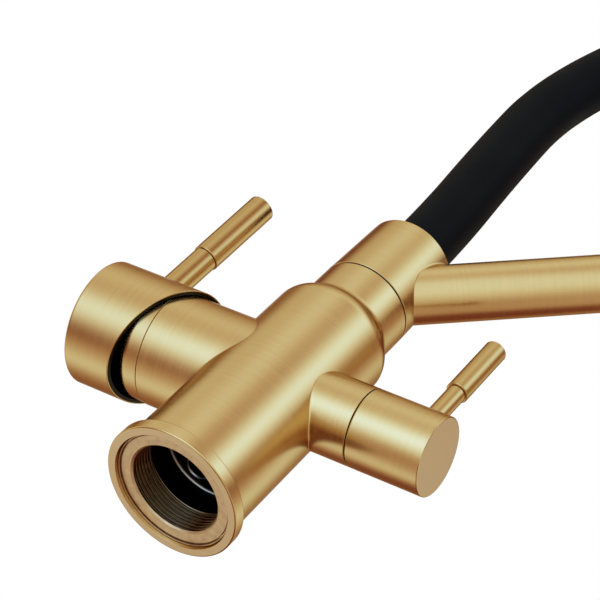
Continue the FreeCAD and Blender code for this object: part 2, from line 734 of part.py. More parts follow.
def make_mixer_handle():
    blank = turned("mixer_cap_blank", [
        ("mixer_barrel_radius + skin_gap", "rim_near"),
        ("mixer_cap_radius", "rim_near"),
        ("mixer_cap_radius", "mixer_cap_end - mixer_cap_edge", "-mixer_cap_edge"),
        ("mixer_cap_radius - mixer_cap_edge", "mixer_cap_end"),
        ("0", "mixer_cap_end"),
        ("0", "cap_boss_start"),
        ("cap_boss_radius", "cap_boss_start"),
        ("cap_boss_radius", "mixer_cap_end - mixer_cap_roof"),
        ("mixer_barrel_radius + skin_gap", "mixer_cap_end - mixer_cap_roof")], MIXER_TURNED)
    wedge = slab("rim_wedge", [
        ("mixer_cap_radius", "rim_near"),
        ("-mixer_cap_radius", "rim_far"),
        ("-2 * mixer_cap_radius", "rim_far"),
        ("-2 * mixer_cap_radius", "rim_near - mixer_cap_radius"),
        ("mixer_cap_radius", "rim_near - mixer_cap_radius")], "3 * mixer_cap_radius", MIXER_TURNED)
    socket = block("stem_socket", "-stem_width / 2 - fit_gap", "stem_width / 2 + fit_gap",
                   "stem_width + 2 * fit_gap", "cap_boss_start", "stem_end", MIXER_TURNED)
    rod_hole = turned("mixer_rod_hole", [
        ("0", "0"),
        ("mixer_stud_radius + fit_gap", "0"),
        ("mixer_stud_radius + fit_gap", "mixer_rod_foot"),
        ("mixer_rod_radius + fit_gap", "mixer_rod_foot"),
        ("mixer_rod_radius + fit_gap", "mixer_cap_radius + mixer_cap_roof"),
        ("0", "mixer_cap_radius + mixer_cap_roof")], MIXER_LEVER)
    keep("mixer_cap", cut("mixer_cap", blank, wedge, socket, rod_hole))
    make_lever("mixer", MIXER_LEVER, "stem_width / 2 + face_gap + skin_gap")


def make_lever(side, holder, tip):
    """A rod with a clamping stud at its foot and a spigot that carries the grip."""
    keep(side + "_lever_rod", turned(side + "_lever_rod", [
        ("0", tip),
        (side + "_stud_radius", tip),
        (side + "_stud_radius", side + "_rod_foot"),
        (side + "_rod_radius", side + "_rod_foot"),
        (side + "_rod_radius", side + "_grip_start - grip_edge"),
        (side + "_rod_radius - grip_edge", side + "_grip_start"),
        (side + "_spigot_radius", side + "_grip_start"),
        (side + "_spigot_radius", side + "_spigot_end"),
        ("0", side + "_spigot_end")], holder))
    keep(side + "_lever_grip", turned(side + "_lever_grip", [
        (side + "_spigot_radius + fit_gap", side + "_grip_start"),
        (side + "_grip_radius - grip_edge", side + "_grip_start"),
        (side + "_grip_radius", side + "_grip_start + grip_edge"),
        (side + "_grip_radius", side + "_grip_end - grip_edge"),
        (side + "_grip_radius - grip_edge", side + "_grip_end"),
        ("0", side + "_grip_end"),
        ("0", side + "_spigot_end + fit_gap"),
        (side + "_spigot_radius + fit_gap", side + "_spigot_end + fit_gap")], holder))


# ---------------------------------------------------------------------------------------------
# Filtered water valve and handle
# ---------------------------------------------------------------------------------------------
def make_filter_valve():
    keep("filter_seat_seal", ring("filter_seat_seal", "valve_neck_radius", "filter_seat_radius - fit_gap",
                                  "filter_seat_floor", "filter_seat_floor + filter_seal_height", FILTER))
    shell = turned("valve_shell", [
        ("0", "filter_seat_floor + filter_seal_height"),
        ("filter_seat_radius - fit_gap", "filter_seat_floor + filter_seal_height"),
        ("filter_seat_radius - fit_gap", "valve_step"),
        ("valve_collar_radius - fit_gap", "valve_step"),
        ("valve_collar_radius - fit_gap", "valve_collar_end"),
        ("valve_neck_radius", "valve_collar_end"),
        ("valve_neck_radius", "valve_neck_end"),
        ("spindle_radius + fit_gap", "valve_neck_end"),
        ("spindle_radius + fit_gap", "valve_cavity_end"),
        ("filter_disc_radius + fit_gap", "valve_cavity_end"),
        ("filter_disc_radius + fit_gap", "valve_cavity_floor"),
        ("0", "valve_cavity_floor")], FILTER)
    ports = [bar(name, "filter_way_radius", "filter_seat_floor", "valve_cavity_floor",
                 Holder(OUT_RIGHT, up=up))
             for name, up in (("valve_inlet", "handle_height - filter_port_shift"),
                              ("valve_outlet", "handle_height + filter_port_shift"))]
    keep("filter_valve_body", cut("filter_valve_body", shell, *ports))
    disc = bar("filter_disc_blank", "filter_disc_radius", "valve_cavity_floor",
               "valve_cavity_floor + filter_disc_thickness", FILTER)
    windows = [bar(name, "filter_way_radius", "valve_cavity_floor",
                   "valve_cavity_floor + filter_disc_thickness", Holder(OUT_RIGHT, up=up))
               for name, up in (("inlet_window", "handle_height - filter_port_shift"),
                                ("outlet_window", "handle_height + filter_port_shift"))]
    keep("filter_fixed_disc", cut("filter_fixed_disc", disc, *windows))
    keep("filter_moving_disc", bar(
        "filter_moving_disc", "filter_disc_radius", "valve_cavity_floor + filter_disc_thickness + face_gap",
        "valve_cavity_floor + 2 * filter_disc_thickness + face_gap", FILTER))
    keep("filter_spindle", turned("filter_spindle", [
        ("0", "valve_cavity_end - spindle_flange"),
        ("filter_disc_radius", "valve_cavity_end - spindle_flange"),
        ("filter_disc_radius", "valve_cavity_end - face_gap"),
        ("spindle_radius", "valve_cavity_end - face_gap"),
        ("spindle_radius", "spindle_end"),
        ("0", "spindle_end")], FILTER))


def make_filter_handle():
    blank = turned("filter_cap_blank", [
        ("filter_cap_bore", "filter_cap_start"),
        ("filter_barrel_radius - filter_cap_edge", "filter_cap_start"),
        ("filter_barrel_radius", "filter_cap_start + filter_cap_edge"),
        ("filter_barrel_radius", "filter_cap_end - filter_cap_edge"),
        ("filter_barrel_radius - filter_cap_edge", "filter_cap_end"),
        ("0", "filter_cap_end"),
        ("0", "spindle_end + fit_gap"),
        ("spindle_radius + fit_gap", "spindle_end + fit_gap"),
        ("spindle_radius + fit_gap", "filter_cap_floor"),
        ("filter_cap_bore", "filter_cap_floor")], FILTER)
    rod_hole = turned("filter_rod_hole", [
        ("0", "0"),
        ("filter_stud_radius + fit_gap", "0"),
        ("filter_stud_radius + fit_gap", "filter_rod_foot"),
        ("filter_rod_radius + fit_gap", "filter_rod_foot"),
        ("filter_rod_radius + fit_gap", "filter_barrel_radius + filter_rod_foot"),
        ("0", "filter_barrel_radius + filter_rod_foot")], FILTER_LEVER)
    keep("filter_cap", cut("filter_cap", blank, rod_hole))
    make_lever("filter", FILTER_LEVER, "spindle_radius + fit_gap")


# ---------------------------------------------------------------------------------------------
# Swivel spigot and collar
# ---------------------------------------------------------------------------------------------
def grooved(outer, depth, middle, width):
    """Outline corners of one square groove in a turned piece, from below."""
    low, high = f"{middle} - {width} / 2", f"{middle} + {width} / 2"
    return [(outer, low), (f"{outer} - {depth}", low), (f"{outer} - {depth}", high), (outer, high)]


def make_spigot():
    ring_groove = ("2 * ring_section", "(2 * ring_section + face_gap)")
    outline = [("spigot_bore", "spigot_foot"), ("spigot_radius", "spigot_foot")]
    outline += grooved("spigot_radius", ring_groove[0], "ring_low", ring_groove[1])
    outline += grooved("spigot_radius", "lock_groove_depth", "lock_groove_height", "lock_groove_width")
    outline += grooved("spigot_radius", ring_groove[0], "ring_middle", ring_groove[1])
    outline += grooved("spigot_radius", "feed_groove_depth", "feed_height", "feed_groove_width")
    outline += grooved("spigot_radius", ring_groove[0], "ring_high", ring_groove[1])
    outline += [("spigot_radius", "spigot_top"), ("spigot_bore", "spigot_top")]
    blank = turned("spigot_blank", outline)
    riser = bar("spigot_feed_riser", "feed_hole_radius", "spigot_foot", "feed_height",
                Holder(NO_TURN, across="filter_way_offset"))
    crossing = bar("spigot_feed_crossing", "feed_hole_radius", "filter_way_offset", "spigot_radius",
                   Holder(OUT_RIGHT, up="feed_height"))
    keep("swivel_spigot", cut("swivel_spigot", blank, riser, crossing))
    rings = []
    for name in ("ring_low", "ring_middle", "ring_high"):
        rubber = doc.addObject("Part::Torus", "rubber_" + name)
        Holder(NO_TURN, up=name).hold(rubber)
        rubber.setExpression("Radius1", on_sheet("spigot_radius - ring_section"))
        rubber.setExpression("Radius2", on_sheet("ring_section"))
        rings.append(rubber)
    keep("spigot_seal_rings", grouped("spigot_seal_rings", rings))
    keep("glide_ring", ring("glide_ring", "spigot_radius + skin_gap", "neck_radius - glide_inset",
                            "neck_top", "neck_top + glide_thickness"))


def collar_outline(core):
    """The collar's outer outline, closed over whatever runs up its middle."""
    return [
        ("neck_radius - collar_edge", "collar_foot"),
        ("neck_radius", "collar_foot + collar_edge"),
        ("collar_top_radius", "collar_top - collar_edge"),
        ("collar_top_radius - collar_edge", "collar_top")] + core


def make_collar():
    blank = turned("collar_blank", collar_outline([
        ("hose_radius + skin_gap", "collar_top"),
        ("hose_radius + skin_gap", "socket_floor"),
        ("web_bore", "socket_floor"),
        ("web_bore", "spigot_top + face_gap"),
        ("spigot_radius + fit_gap", "spigot_top + face_gap"),
        ("spigot_radius + fit_gap", "collar_foot")]))
    feed_hole = bar("collar_feed_hole", "feed_tube_radius + fit_gap", "arm_root", "3 * arm_root", ARM)
    to_back = Holder(FreeCAD.Rotation(X_AXIS, -90), up="lock_groove_height")
    screw_hole = bar("lock_screw_hole", "lock_screw_radius + fit_gap", "spigot_radius - lock_groove_depth",
                     "2 * neck_radius", to_back)
    keep("spout_collar", cut("spout_collar", blank, feed_hole, screw_hole))
    keep("collar_lock_screw", bar("collar_lock_screw", "lock_screw_radius",
                                  "spigot_radius - lock_groove_depth + face_gap",
                                  "neck_radius - skin_gap - face_gap", to_back))


# ---------------------------------------------------------------------------------------------
# Arm, filtered water outlet and dock
# ---------------------------------------------------------------------------------------------
def arm_path(low, root):
    """Straight up from the outlet, round the bend and down the slope to a distance from the root."""
    return [
        ("arm_reach", low),
        ("arm_reach", "bend_low", "-bend_radius"),
        ("bend_near", "bend_high"),
        (f"{root} * cos(arm_slope)", f"arm_axis_height + {root} * sin(arm_slope)")]


def make_arm():
    tube = bent_tube("arm_tube", arm_path("arm_end", "arm_root"), "arm_radius", "arm_radius - arm_wall")
    collar_space = turned("collar_space", collar_outline([("0", "collar_top"), ("0", "collar_foot")]))
    keep("spout_arm", cut("spout_arm", tube, collar_space))
    keep("filtered_water_tube", bent_tube(
        "filtered_water_tube", arm_path("arm_end + outlet_insert_foot + outlet_insert_height / 2",
                                        "feed_tube_root"),
        "feed_tube_radius", "feed_tube_radius - feed_tube_wall"))
    bore = "arm_radius - arm_wall"
    keep("filtered_outlet_insert", turned("filtered_outlet_insert", [
        ("feed_tube_radius - feed_tube_wall", "arm_end + outlet_insert_foot"),
        (bore + " - fit_gap", "arm_end + outlet_insert_foot"),
        (bore + " - fit_gap", "arm_end + outlet_insert_foot + outlet_insert_height"),
        ("feed_tube_radius + fit_gap", "arm_end + outlet_insert_foot + outlet_insert_height"),
        ("feed_tube_radius + fit_gap", "arm_end + outlet_insert_foot + outlet_insert_height / 2"),
        ("feed_tube_radius - feed_tube_wall", "arm_end + outlet_insert_foot + outlet_insert_height / 2")],
        OUTLET))
    keep("filtered_aerator_ring", turned("filtered_aerator_ring", [
        ("outlet_bore", "arm_end - outlet_flange_height"),
        ("outlet_flange_radius - flange_edge", "arm_end - outlet_flange_height"),
        ("outlet_flange_radius", "arm_end - outlet_flange_height + flange_edge"),
        ("outlet_flange_radius", "arm_end"),
        (bore + " - fit_gap", "arm_end"),
        (bore + " - fit_gap", "arm_end + outlet_insert_foot"),
        ("outlet_bore", "arm_end + outlet_insert_foot")], OUTLET))
    keep("filtered_aerator_screen", bar(
        "filtered_aerator_screen", "outlet_bore - fit_gap",
        "arm_end - outlet_flange_height + screen_inset",
        "arm_end - outlet_flange_height + screen_inset + screen_thickness", OUTLET))


def make_dock():
    top = "dock_base + dock_height"
    clamp = bar("dock_clamp", "dock_clamp_radius", "dock_base", top, OUTLET)
    hoop = bar("dock_hoop", "dock_ring_radius", "dock_base", top, HEAD)
    bridge = block("dock_bridge", "arm_reach", "dock_reach", "dock_bridge_width", "dock_base", top)
    arm_hole = bar("dock_arm_hole", "arm_radius + fit_gap", "dock_base", top, OUTLET)
    liner_outside = "head_neck_radius + skin_gap + dock_liner_wall"
    neck_hole = bar("dock_neck_hole", liner_outside, "dock_base", top, HEAD)
    gap = block("dock_mouth", "0", "2 * dock_ring_radius", "dock_gap", "dock_base - dock_height",
                "dock_base + 2 * dock_height", HEAD)
    across = Holder(OUT_LEFT, across="arm_reach", up="dock_base + dock_height / 2")
    screw_hole = bar("dock_screw_hole", "lock_screw_radius + fit_gap", "arm_radius - arm_wall",
                     "2 * dock_clamp_radius", across)
    keep("dock_bracket", cut("dock_bracket", fused("dock_blank", clamp, hoop, bridge),
                             arm_hole, neck_hole, gap, screw_hole))
    keep("dock_screw", bar("dock_screw", "lock_screw_radius", "arm_radius + fit_gap",
                           "dock_clamp_radius - skin_gap", across))
    liner = turned("dock_liner_blank", [
        ("head_neck_radius + skin_gap", "dock_base"),
        (liner_outside + " - fit_gap", "dock_base"),
        (liner_outside + " - fit_gap", top),
        (liner_outside + " + dock_liner_wall", top),
        (liner_outside + " + dock_liner_wall", top + " + dock_liner_lip"),
        ("head_neck_radius + skin_gap", top + " + dock_liner_lip")], HEAD)
    liner_gap = block("liner_mouth", "0", "2 * dock_ring_radius", "dock_gap", "dock_base - dock_height",
                      "dock_base + 2 * dock_height", HEAD)
    keep("dock_liner", cut("dock_liner", liner, liner_gap))


# ---------------------------------------------------------------------------------------------
# Hose between the collar and the spray head
# ---------------------------------------------------------------------------------------------
def hose_route():
    """Points of the hose's route in the xz plane, from the collar's socket over to the head."""
    start, end = value("socket_floor + nipple_flange"), value("hose_end")
    reach, crown = value("dock_reach"), value("hose_crown")
    shares = [(0, 0.448), (-0.019, 0.578), (-0.0295, 0.719), (0.0703, 0.893), (0.3265, 1),
              (0.644, 1), (0.9, 0.893), (1, 0.719)]
    return [(0, start)] + [(across * reach, up * crown) for across, up in shares] + [(reach, end)]


def rounded_path(points):
    """Straight runs joined by tangent arcs, each arc as large as its two runs allow."""
    spots = [V(x, 0, z) for x, z in points]
    edges, begin, radii = [], spots[0], []
    for before, corner, after in zip(spots, spots[1:], spots[2:]):
        back, ahead = before - corner, after - corner
        reach = ARC_SHARE * min(back.Length, ahead.Length)
        turn = math.pi - back.getAngle(ahead)
        entry = corner + back.normalize() * reach
        leave = corner + ahead.normalize() * reach
        radius = reach / math.tan(turn / 2)
        inward = (back + ahead).normalize()
        middle = corner + inward * (radius / math.cos(turn / 2) - radius)
        edges.append(Part.LineSegment(begin, entry).toShape())
        edges.append(Part.Arc(entry, middle, leave).toShape())
        radii.append(round(radius, 1))
        begin = leave
    edges.append(Part.LineSegment(begin, spots[-1]).toShape())
    return Part.Wire(edges), radii


def hose_tube(label, outer, inner):
    """A tube along the hose's route."""
    path, radii = rounded_path(hose_route())
    start = path.OrderedVertexes[0].Point
    layers = []
    for radius in (value(outer), value(inner)):
        round_edge = Part.Wire(Part.makeCircle(radius, start, Z_AXIS))
        layers.append(path.makePipeShell([round_edge], True, False))
    tube = doc.addObject("Part::Feature", label)
    tube.Shape = layers[0].cut(layers[1])
    section = math.pi * (value(outer) ** 2 - value(inner) ** 2)
    print(f"{label}: length {path.Length:.1f} mm, arc radii {radii},",
          f"volume over section times length {tube.Shape.Volume / section / path.Length:.5f}")
    return keep(label, tube)


def make_hose():
    barb_low = "socket_floor + nipple_flange"
    keep("collar_nipple", turned("collar_nipple", [
        ("nipple_bore", "spigot_top + face_gap + skin_gap"),
        ("web_bore - fit_gap", "spigot_top + face_gap + skin_gap"),
        ("web_bore - fit_gap", "socket_floor"),
        ("hose_radius", "socket_floor"),
        ("hose_radius", barb_low),
        ("nipple_radius", barb_low),
        ("nipple_radius", barb_low + " + nipple_barb"),
        ("nipple_bore", barb_low + " + nipple_barb")]))
    hose_tube("flexible_hose", "hose_radius", "hose_bore")
    hose_tube("inner_water_hose", "inner_hose_radius", "inner_hose_bore")
    plate = "hose_end - ferrule_plate"
    keep("hose_ferrule", turned("hose_ferrule", [
        ("stalk_radius + fit_gap", plate),
        ("hose_radius + fit_gap + ferrule_wall - flange_edge", plate),
        ("hose_radius + fit_gap + ferrule_wall", plate + " + flange_edge"),
        ("hose_radius + fit_gap + ferrule_wall", "ferrule_top - grip_edge"),
        ("hose_radius + fit_gap + ferrule_wall - grip_edge", "ferrule_top"),
        ("hose_radius + fit_gap", "ferrule_top"),
        ("hose_radius + fit_gap", "hose_end"),
        ("stalk_radius + fit_gap", "hose_end")], HEAD))
    collar_top = plate + " - nut_seam - nut_lip - face_gap"
    keep("head_stalk", turned("head_stalk", [
        ("stalk_bore", "stalk_end"),
        ("stalk_radius", "stalk_end"),
        ("stalk_radius", collar_top + " - stalk_collar_height"),
        ("stalk_collar_radius", collar_top + " - stalk_collar_height"),
        ("stalk_collar_radius", collar_top),
        ("stalk_radius", collar_top),
        ("stalk_radius", "hose_end"),
        ("nipple_radius", "hose_end"),
        ("nipple_radius", "hose_end + nipple_barb"),
        ("stalk_bore", "hose_end + nipple_barb")], HEAD))


# ---------------------------------------------------------------------------------------------
# Spray head
# ---------------------------------------------------------------------------------------------
def make_head():
    nut_top = "hose_end - ferrule_plate - nut_seam"
    nut_base = nut_top + " - nut_height"
    keep("head_swivel_nut", turned("head_swivel_nut", [
        ("stalk_collar_radius + face_gap", nut_base + " - nut_skirt"),
        ("head_neck_bore - fit_gap", nut_base + " - nut_skirt"),
        ("head_neck_bore - fit_gap", nut_base),
        ("head_neck_radius", nut_base),
        ("head_neck_radius", nut_top + " - flange_edge"),
        ("head_neck_radius - flange_edge", nut_top),
        ("stalk_radius + fit_gap", nut_top),
        ("stalk_radius + fit_gap", nut_top + " - nut_lip"),
        ("stalk_collar_radius + face_gap", nut_top + " - nut_lip")], HEAD))
    window = block("button_window", "head_neck_radius - button_depth", "2 * head_radius",
                   "button_width + 2 * button_slack", "button_base - button_slack",
                   "button_base + button_height + button_slack", HEAD)
    shell = turned("head_shell_blank", [
        ("head_bore", "head_bottom"),
        ("head_radius - flange_edge", "head_bottom"),
        ("head_radius", "head_bottom + flange_edge"),
        ("head_radius", "head_shoulder", "-head_shoulder_radius"),
        ("(head_radius + head_neck_radius) / 2", "head_shoulder_middle", "head_shoulder_radius"),
        ("head_neck_radius", "head_shoulder_top"),
        ("head_neck_radius", nut_base),
        ("head_neck_bore", nut_base),
        ("head_neck_bore", "head_shoulder_top - head_shoulder_radius / 2"),
        ("head_bore", "head_shoulder")], HEAD)
    keep("head_shell", cut("head_shell", shell, window))
    core = turned("head_core_blank", [
        ("0", "core_base"),
        ("head_bore - fit_gap", "core_base"),
        ("head_bore - fit_gap", "head_shoulder"),
        ("head_neck_bore - fit_gap", "head_shoulder"),
        ("head_neck_bore - fit_gap", nut_base + " - nut_skirt"),
        ("stalk_radius + fit_gap", nut_base + " - nut_skirt"),
        ("stalk_radius + fit_gap", "stalk_end - face_gap"),
        ("stalk_bore", "stalk_end - face_gap"),
        ("stalk_bore", "head_shoulder"),
        ("0", "head_shoulder")], HEAD)
    pocket_floor = "head_radius + button_proud - button_depth - button_travel - button_slack"
    pocket = block("button_pocket", pocket_floor, "2 * head_radius",
                   "button_width + 2 * button_slack", "button_base - button_slack",
                   "button_base + button_height + button_slack", HEAD)
    keep("head_core", cut("head_core", core, pocket))
    make_head_face()
    keep("head_button", block(
        "head_button", "head_radius + button_proud - button_depth", "head_radius + button_proud",
        "button_width", "button_base", "button_base + button_height", HEAD))


def make_head_face():
    keep("head_face", ring("head_face", "aerator_radius + fit_gap", "head_bore - fit_gap",
                           "head_bottom + face_recess", "core_base", HEAD))
    nozzles = []
    for place in range(int(value("nozzle_count"))):
        angle = 360 * place / value("nozzle_count")
        holder = Holder(NO_TURN, across=f"dock_reach + nozzle_pitch_radius * cos({angle})",
                        along=f"nozzle_pitch_radius * sin({angle})")
        nozzles.append(bar(f"nozzle_{place + 1}", "nozzle_radius",
                           "head_bottom + face_recess - nozzle_height",
                           "head_bottom + face_recess", holder))
    keep("head_nozzles", grouped("head_nozzles", nozzles))
    keep("head_aerator", turned("head_aerator", [
        ("0", "head_bottom + face_recess + nozzle_height"),
        ("aerator_bore", "head_bottom + face_recess + nozzle_height"),
        ("aerator_bore", "head_bottom + face_recess"),
        ("aerator_radius", "head_bottom + face_recess"),
        ("aerator_radius", "core_base"),
        ("0", "core_base")], HEAD))


# ---------------------------------------------------------------------------------------------
# Build, check and write
# ---------------------------------------------------------------------------------------------
make_base()
make_body()
make_mixer_cartridge()
make_mixer_rotor()
make_mixer_handle()
make_filter_valve()
make_filter_handle()
make_spigot()
make_collar()
make_arm()
make_dock()
make_hose()
make_head()
doc.recompute()

for thing in doc.Objects:
    if "Invalid" in thing.State or "Error" in thing.State:
        raise RuntimeError(f"{thing.Label} failed: {thing.State}")
for label, thing in pieces.items():
    shape = thing.Shape
    if shape.isNull() or not shape.isValid() or not shape.Solids:
        raise RuntimeError(f"{label} has no valid solid")
for label, thing in pieces.items():
    thing.Shape.exportStep(f"parts/{label}.step")
print(len(pieces), "pieces written")
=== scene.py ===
"""Looks of a three way filtered water tap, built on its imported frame.

The frame's +Z is up, the origin is the centre of the base ring's lower face, the filtered water
handle points along +X and the mixer handle along -X. Lengths are metres.
"""

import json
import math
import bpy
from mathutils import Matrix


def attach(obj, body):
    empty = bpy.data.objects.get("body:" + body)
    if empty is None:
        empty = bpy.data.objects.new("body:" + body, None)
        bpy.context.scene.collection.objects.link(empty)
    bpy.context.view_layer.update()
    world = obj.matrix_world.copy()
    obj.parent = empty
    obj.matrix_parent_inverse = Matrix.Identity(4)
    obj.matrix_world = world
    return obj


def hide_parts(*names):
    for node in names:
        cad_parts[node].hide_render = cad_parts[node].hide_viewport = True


bl_info = {
    "name": "Filtered water tap",
    "version": (1, 0, 0),
    "blender": (4, 5, 0),
    "location": "View3D > Sidebar > Tap",
    "description": "Brushed gold tap with two handles, a swivel arm and an arched hose",
    "category": "Object",
}

import bmesh
import bpy
import numpy as np
from bpy.props import FloatProperty, FloatVectorProperty, PointerProperty
from mathutils import Matrix, Vector

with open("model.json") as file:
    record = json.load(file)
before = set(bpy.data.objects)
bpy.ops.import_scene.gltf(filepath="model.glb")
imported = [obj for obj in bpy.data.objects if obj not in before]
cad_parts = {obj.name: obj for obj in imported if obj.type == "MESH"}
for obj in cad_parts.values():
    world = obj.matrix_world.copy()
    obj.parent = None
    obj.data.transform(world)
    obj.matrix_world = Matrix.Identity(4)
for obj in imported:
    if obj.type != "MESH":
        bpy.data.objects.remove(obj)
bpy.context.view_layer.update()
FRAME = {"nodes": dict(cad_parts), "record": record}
MM = 0.001
TURN = 2 * math.pi
UP, DOWN, OUT_X, IN_X = (0, 0, 1), (0, 0, -1), (1, 0, 0), (-1, 0, 0)
ROUND = 160                      # points round a visible turned piece
SMALL_ROUND = 96                 # points round a small turned piece
PORT_ROUND, NOZZLE_ROUND = 64, 16             # points round a port and a nozzle
WINDOW_ROUND, SHELL_ROUND = 13, 149           # points round the head at its button and elsewhere
FILLET_ROWS, TUBE_ROWS, BEND_ROWS, THREAD_ROWS = 9, 13, 40, 130    # rows of points along each
ARC_STEP = math.radians(8.0)     # turn between two points of a rounded corner
HAIR = 0.05 * MM                 # support point beside a rounded corner
SHARP, CRISP, BROKEN, SOFT = 0.1 * MM, 0.2 * MM, 0.3 * MM, 0.6 * MM    # roundings of edges
FIT = 0.05 * MM                  # clearance of a piece in its hole
RIBBON_GRAIN = 10 * MM           # radius at which a flat sheet wears its brushing
FLANK, CREST = 2.4, 0.7          # steepness of the thread's flanks, and how much its crest loses
NOZZLES = 16                     # nozzles round the spray face
METAL_EDGE_TINT = (0.62, 0.50, 0.42, 1.0)    # what the outlines of metal keep of its colour

# The camera fitted to the photograph: where it stands, and which ways its right, top and back point
CAMERA_SPOT = (0.32634, -0.47650, -0.42586)
CAMERA_RIGHT = (0.84121819, 0.00655907, 0.54065603)
CAMERA_UP = (-0.31947818, -0.80068159, 0.5067965)
CAMERA_BACK = (0.43621744, -0.59905423, -0.67145243)

# The light that the metal mirrors: its level where no field lies, and its lowest level. Red is
# RED_LIGHT times the level's root, green is the level, and blue is the level times the sum of
# BLUE_LIGHT[1] and BLUE_LIGHT[0] times the level squared.
STUDIO_LEVEL, STUDIO_DARKEST = 0.61, 0.05
RED_LIGHT, BLUE_LIGHT = 0.85, (0.34, 0.62)
WHITE_BEHIND = (0.955, 0.98)     # cosines to the view's direction between which it turns white
# Its fields: degrees from the camera's back, degrees round it from its right, sharpness, strength
STUDIO_FIELDS = (
    (50, 129, 15, 0.76), (47, 163, 13, 0.62), (47, 90, 20, 0.30), (18, 59, 5, 0.46),
    (79, 25, 17, 1.00), (96, 39, 14, 0.42), (97, 80, 20, 0.30), (126, 122, 20, 0.45),
    (127, -22, 22, 0.75), (98, -138, 22, 0.45), (50, -112, 11, -1.15), (71, 176, 15, -1.00),
    (77, -4, 20, -1.10), (109, -96, 9, -1.15), (124, 8, 14, -0.85), (69, 49, 13, -0.75),
    (150, -117, 12, -0.30), (148, -4, 15, -0.50), (148, 116, 18, -0.65), (95, 128, 18, -0.35))


# --- Sizes and colours ---
def length(description, millimetres):
    return FloatProperty(description=description, default=millimetres * MM, unit="LENGTH", precision=5)


def colour(description, red, green, blue):
    return FloatVectorProperty(description=description, default=(red, green, blue), subtype="COLOR",
                               size=3, min=0.0, max=1.0)


def share(description, amount):
    return FloatProperty(description=description, default=amount, min=0.0, max=1.0, subtype="FACTOR")


def turn(description, degrees):
    return FloatProperty(description=description, default=math.radians(degrees), subtype="ANGLE")


def lens(description, millimetres):
    return FloatProperty(description=description, default=millimetres, unit="CAMERA")


def named(group):
    """Give every size and colour of a group its name: that of its attribute, in words."""
    for key, size in group.__annotations__.items():
        size.keywords["name"] = key.replace("_", " ").capitalize()
    return group


@named
class TapBodySizes(bpy.types.PropertyGroup):
    ring_radius: length("Outer radius of the base ring", 25.0)
    ring_height: length("Height of the base ring", 4.9)
    ring_bore: length("Radius of the recess that holds the washer", 21.9)
    ring_step: length("Height of the recess", 3.2)
    washer_height: length("Height of the washer", 2.0)
    washer_gap: length("Gap on either side of the washer", 0.4)
    ring_edge: length("Rounding of the base ring's outer edges", 0.6)
    foot_radius: length("Radius of the foot inside the ring", 20.8)
    foot_recess: length("How far the foot stands above the ring's face", 1.8)
    thread_radius: length("Crest radius of the thread in the foot", 16.5)
    thread_chamfer: length("Lead-in of the thread", 0.6)
    thread_top: length("Height of the floor behind the thread", 22.0)
    thread_end: length("Height where the thread runs out", 12.5)
    thread_pitch: length("Rise of one turn of the thread", 1.5)
    thread_depth: length("Depth of the thread", 0.75)
    port_radius: length("Radius of an inlet port", 4.5)
    port_depth: length("Depth of an inlet port", 12.0)
    port_step: length("How much narrower an inlet port is behind its bevelled edge", 0.36)
    port_bevel: length("Depth of an inlet port's bevelled edge", 0.5)
    filter_port: length("Distance of the filtered water port from the middle", 9.0)
    mixer_port_back: length("Distance of the hot and cold ports behind the middle", 5.0)
    mixer_port_aside: length("Distance of the hot and cold ports to either side", 8.0)
    floor_round: length("Hollow between the floor and the wall behind the thread", 0.7)
    column_foot: length("Radius of the column at the ring", 22.65)
    column_top: length("Radius of the column at the shoulder", 22.5)
    shoulder: length("Height where the shoulder's upper slope meets the column", 95.806)
    shoulder_round: length("Radius of the shoulder", 12.0)
    crease: length("Height where the shoulder's slope meets the neck", 100.733)
    crease_round: length("Radius of the hollow under the neck", 5.0)
    neck_radius: length("Radius of the neck", 17.8)
    neck_top: length("Height of the neck's top face", 116.6)
    spigot_bore: length("Radius of the hole for the swivel spigot", 11.05)
    spigot_depth: length("Depth of the hole for the swivel spigot", 19.6)
    handle_height: length("Height of both side barrels", 60.5)
    mixer_barrel: length("Radius of the mixer barrel", 20.6)
    mixer_barrel_end: length("Reach of the mixer barrel", 43.0)
    mixer_seat: length("Radius of the mixer barrel's bore", 18.8)
    mixer_seat_depth: length("Depth of the mixer barrel's bore", 6.1)
    filter_barrel: length("Radius of the filtered water barrel", 14.0)
    filter_barrel_end: length("Reach of the filtered water barrel", 35.6)
    filter_seat: length("Radius of the filtered water barrel's bore", 11.0)
    filter_seat_depth: length("Depth of the filtered water barrel's bore", 1.6)
    joint_fillet: length("Rounding where a barrel leaves the column", 0.8)


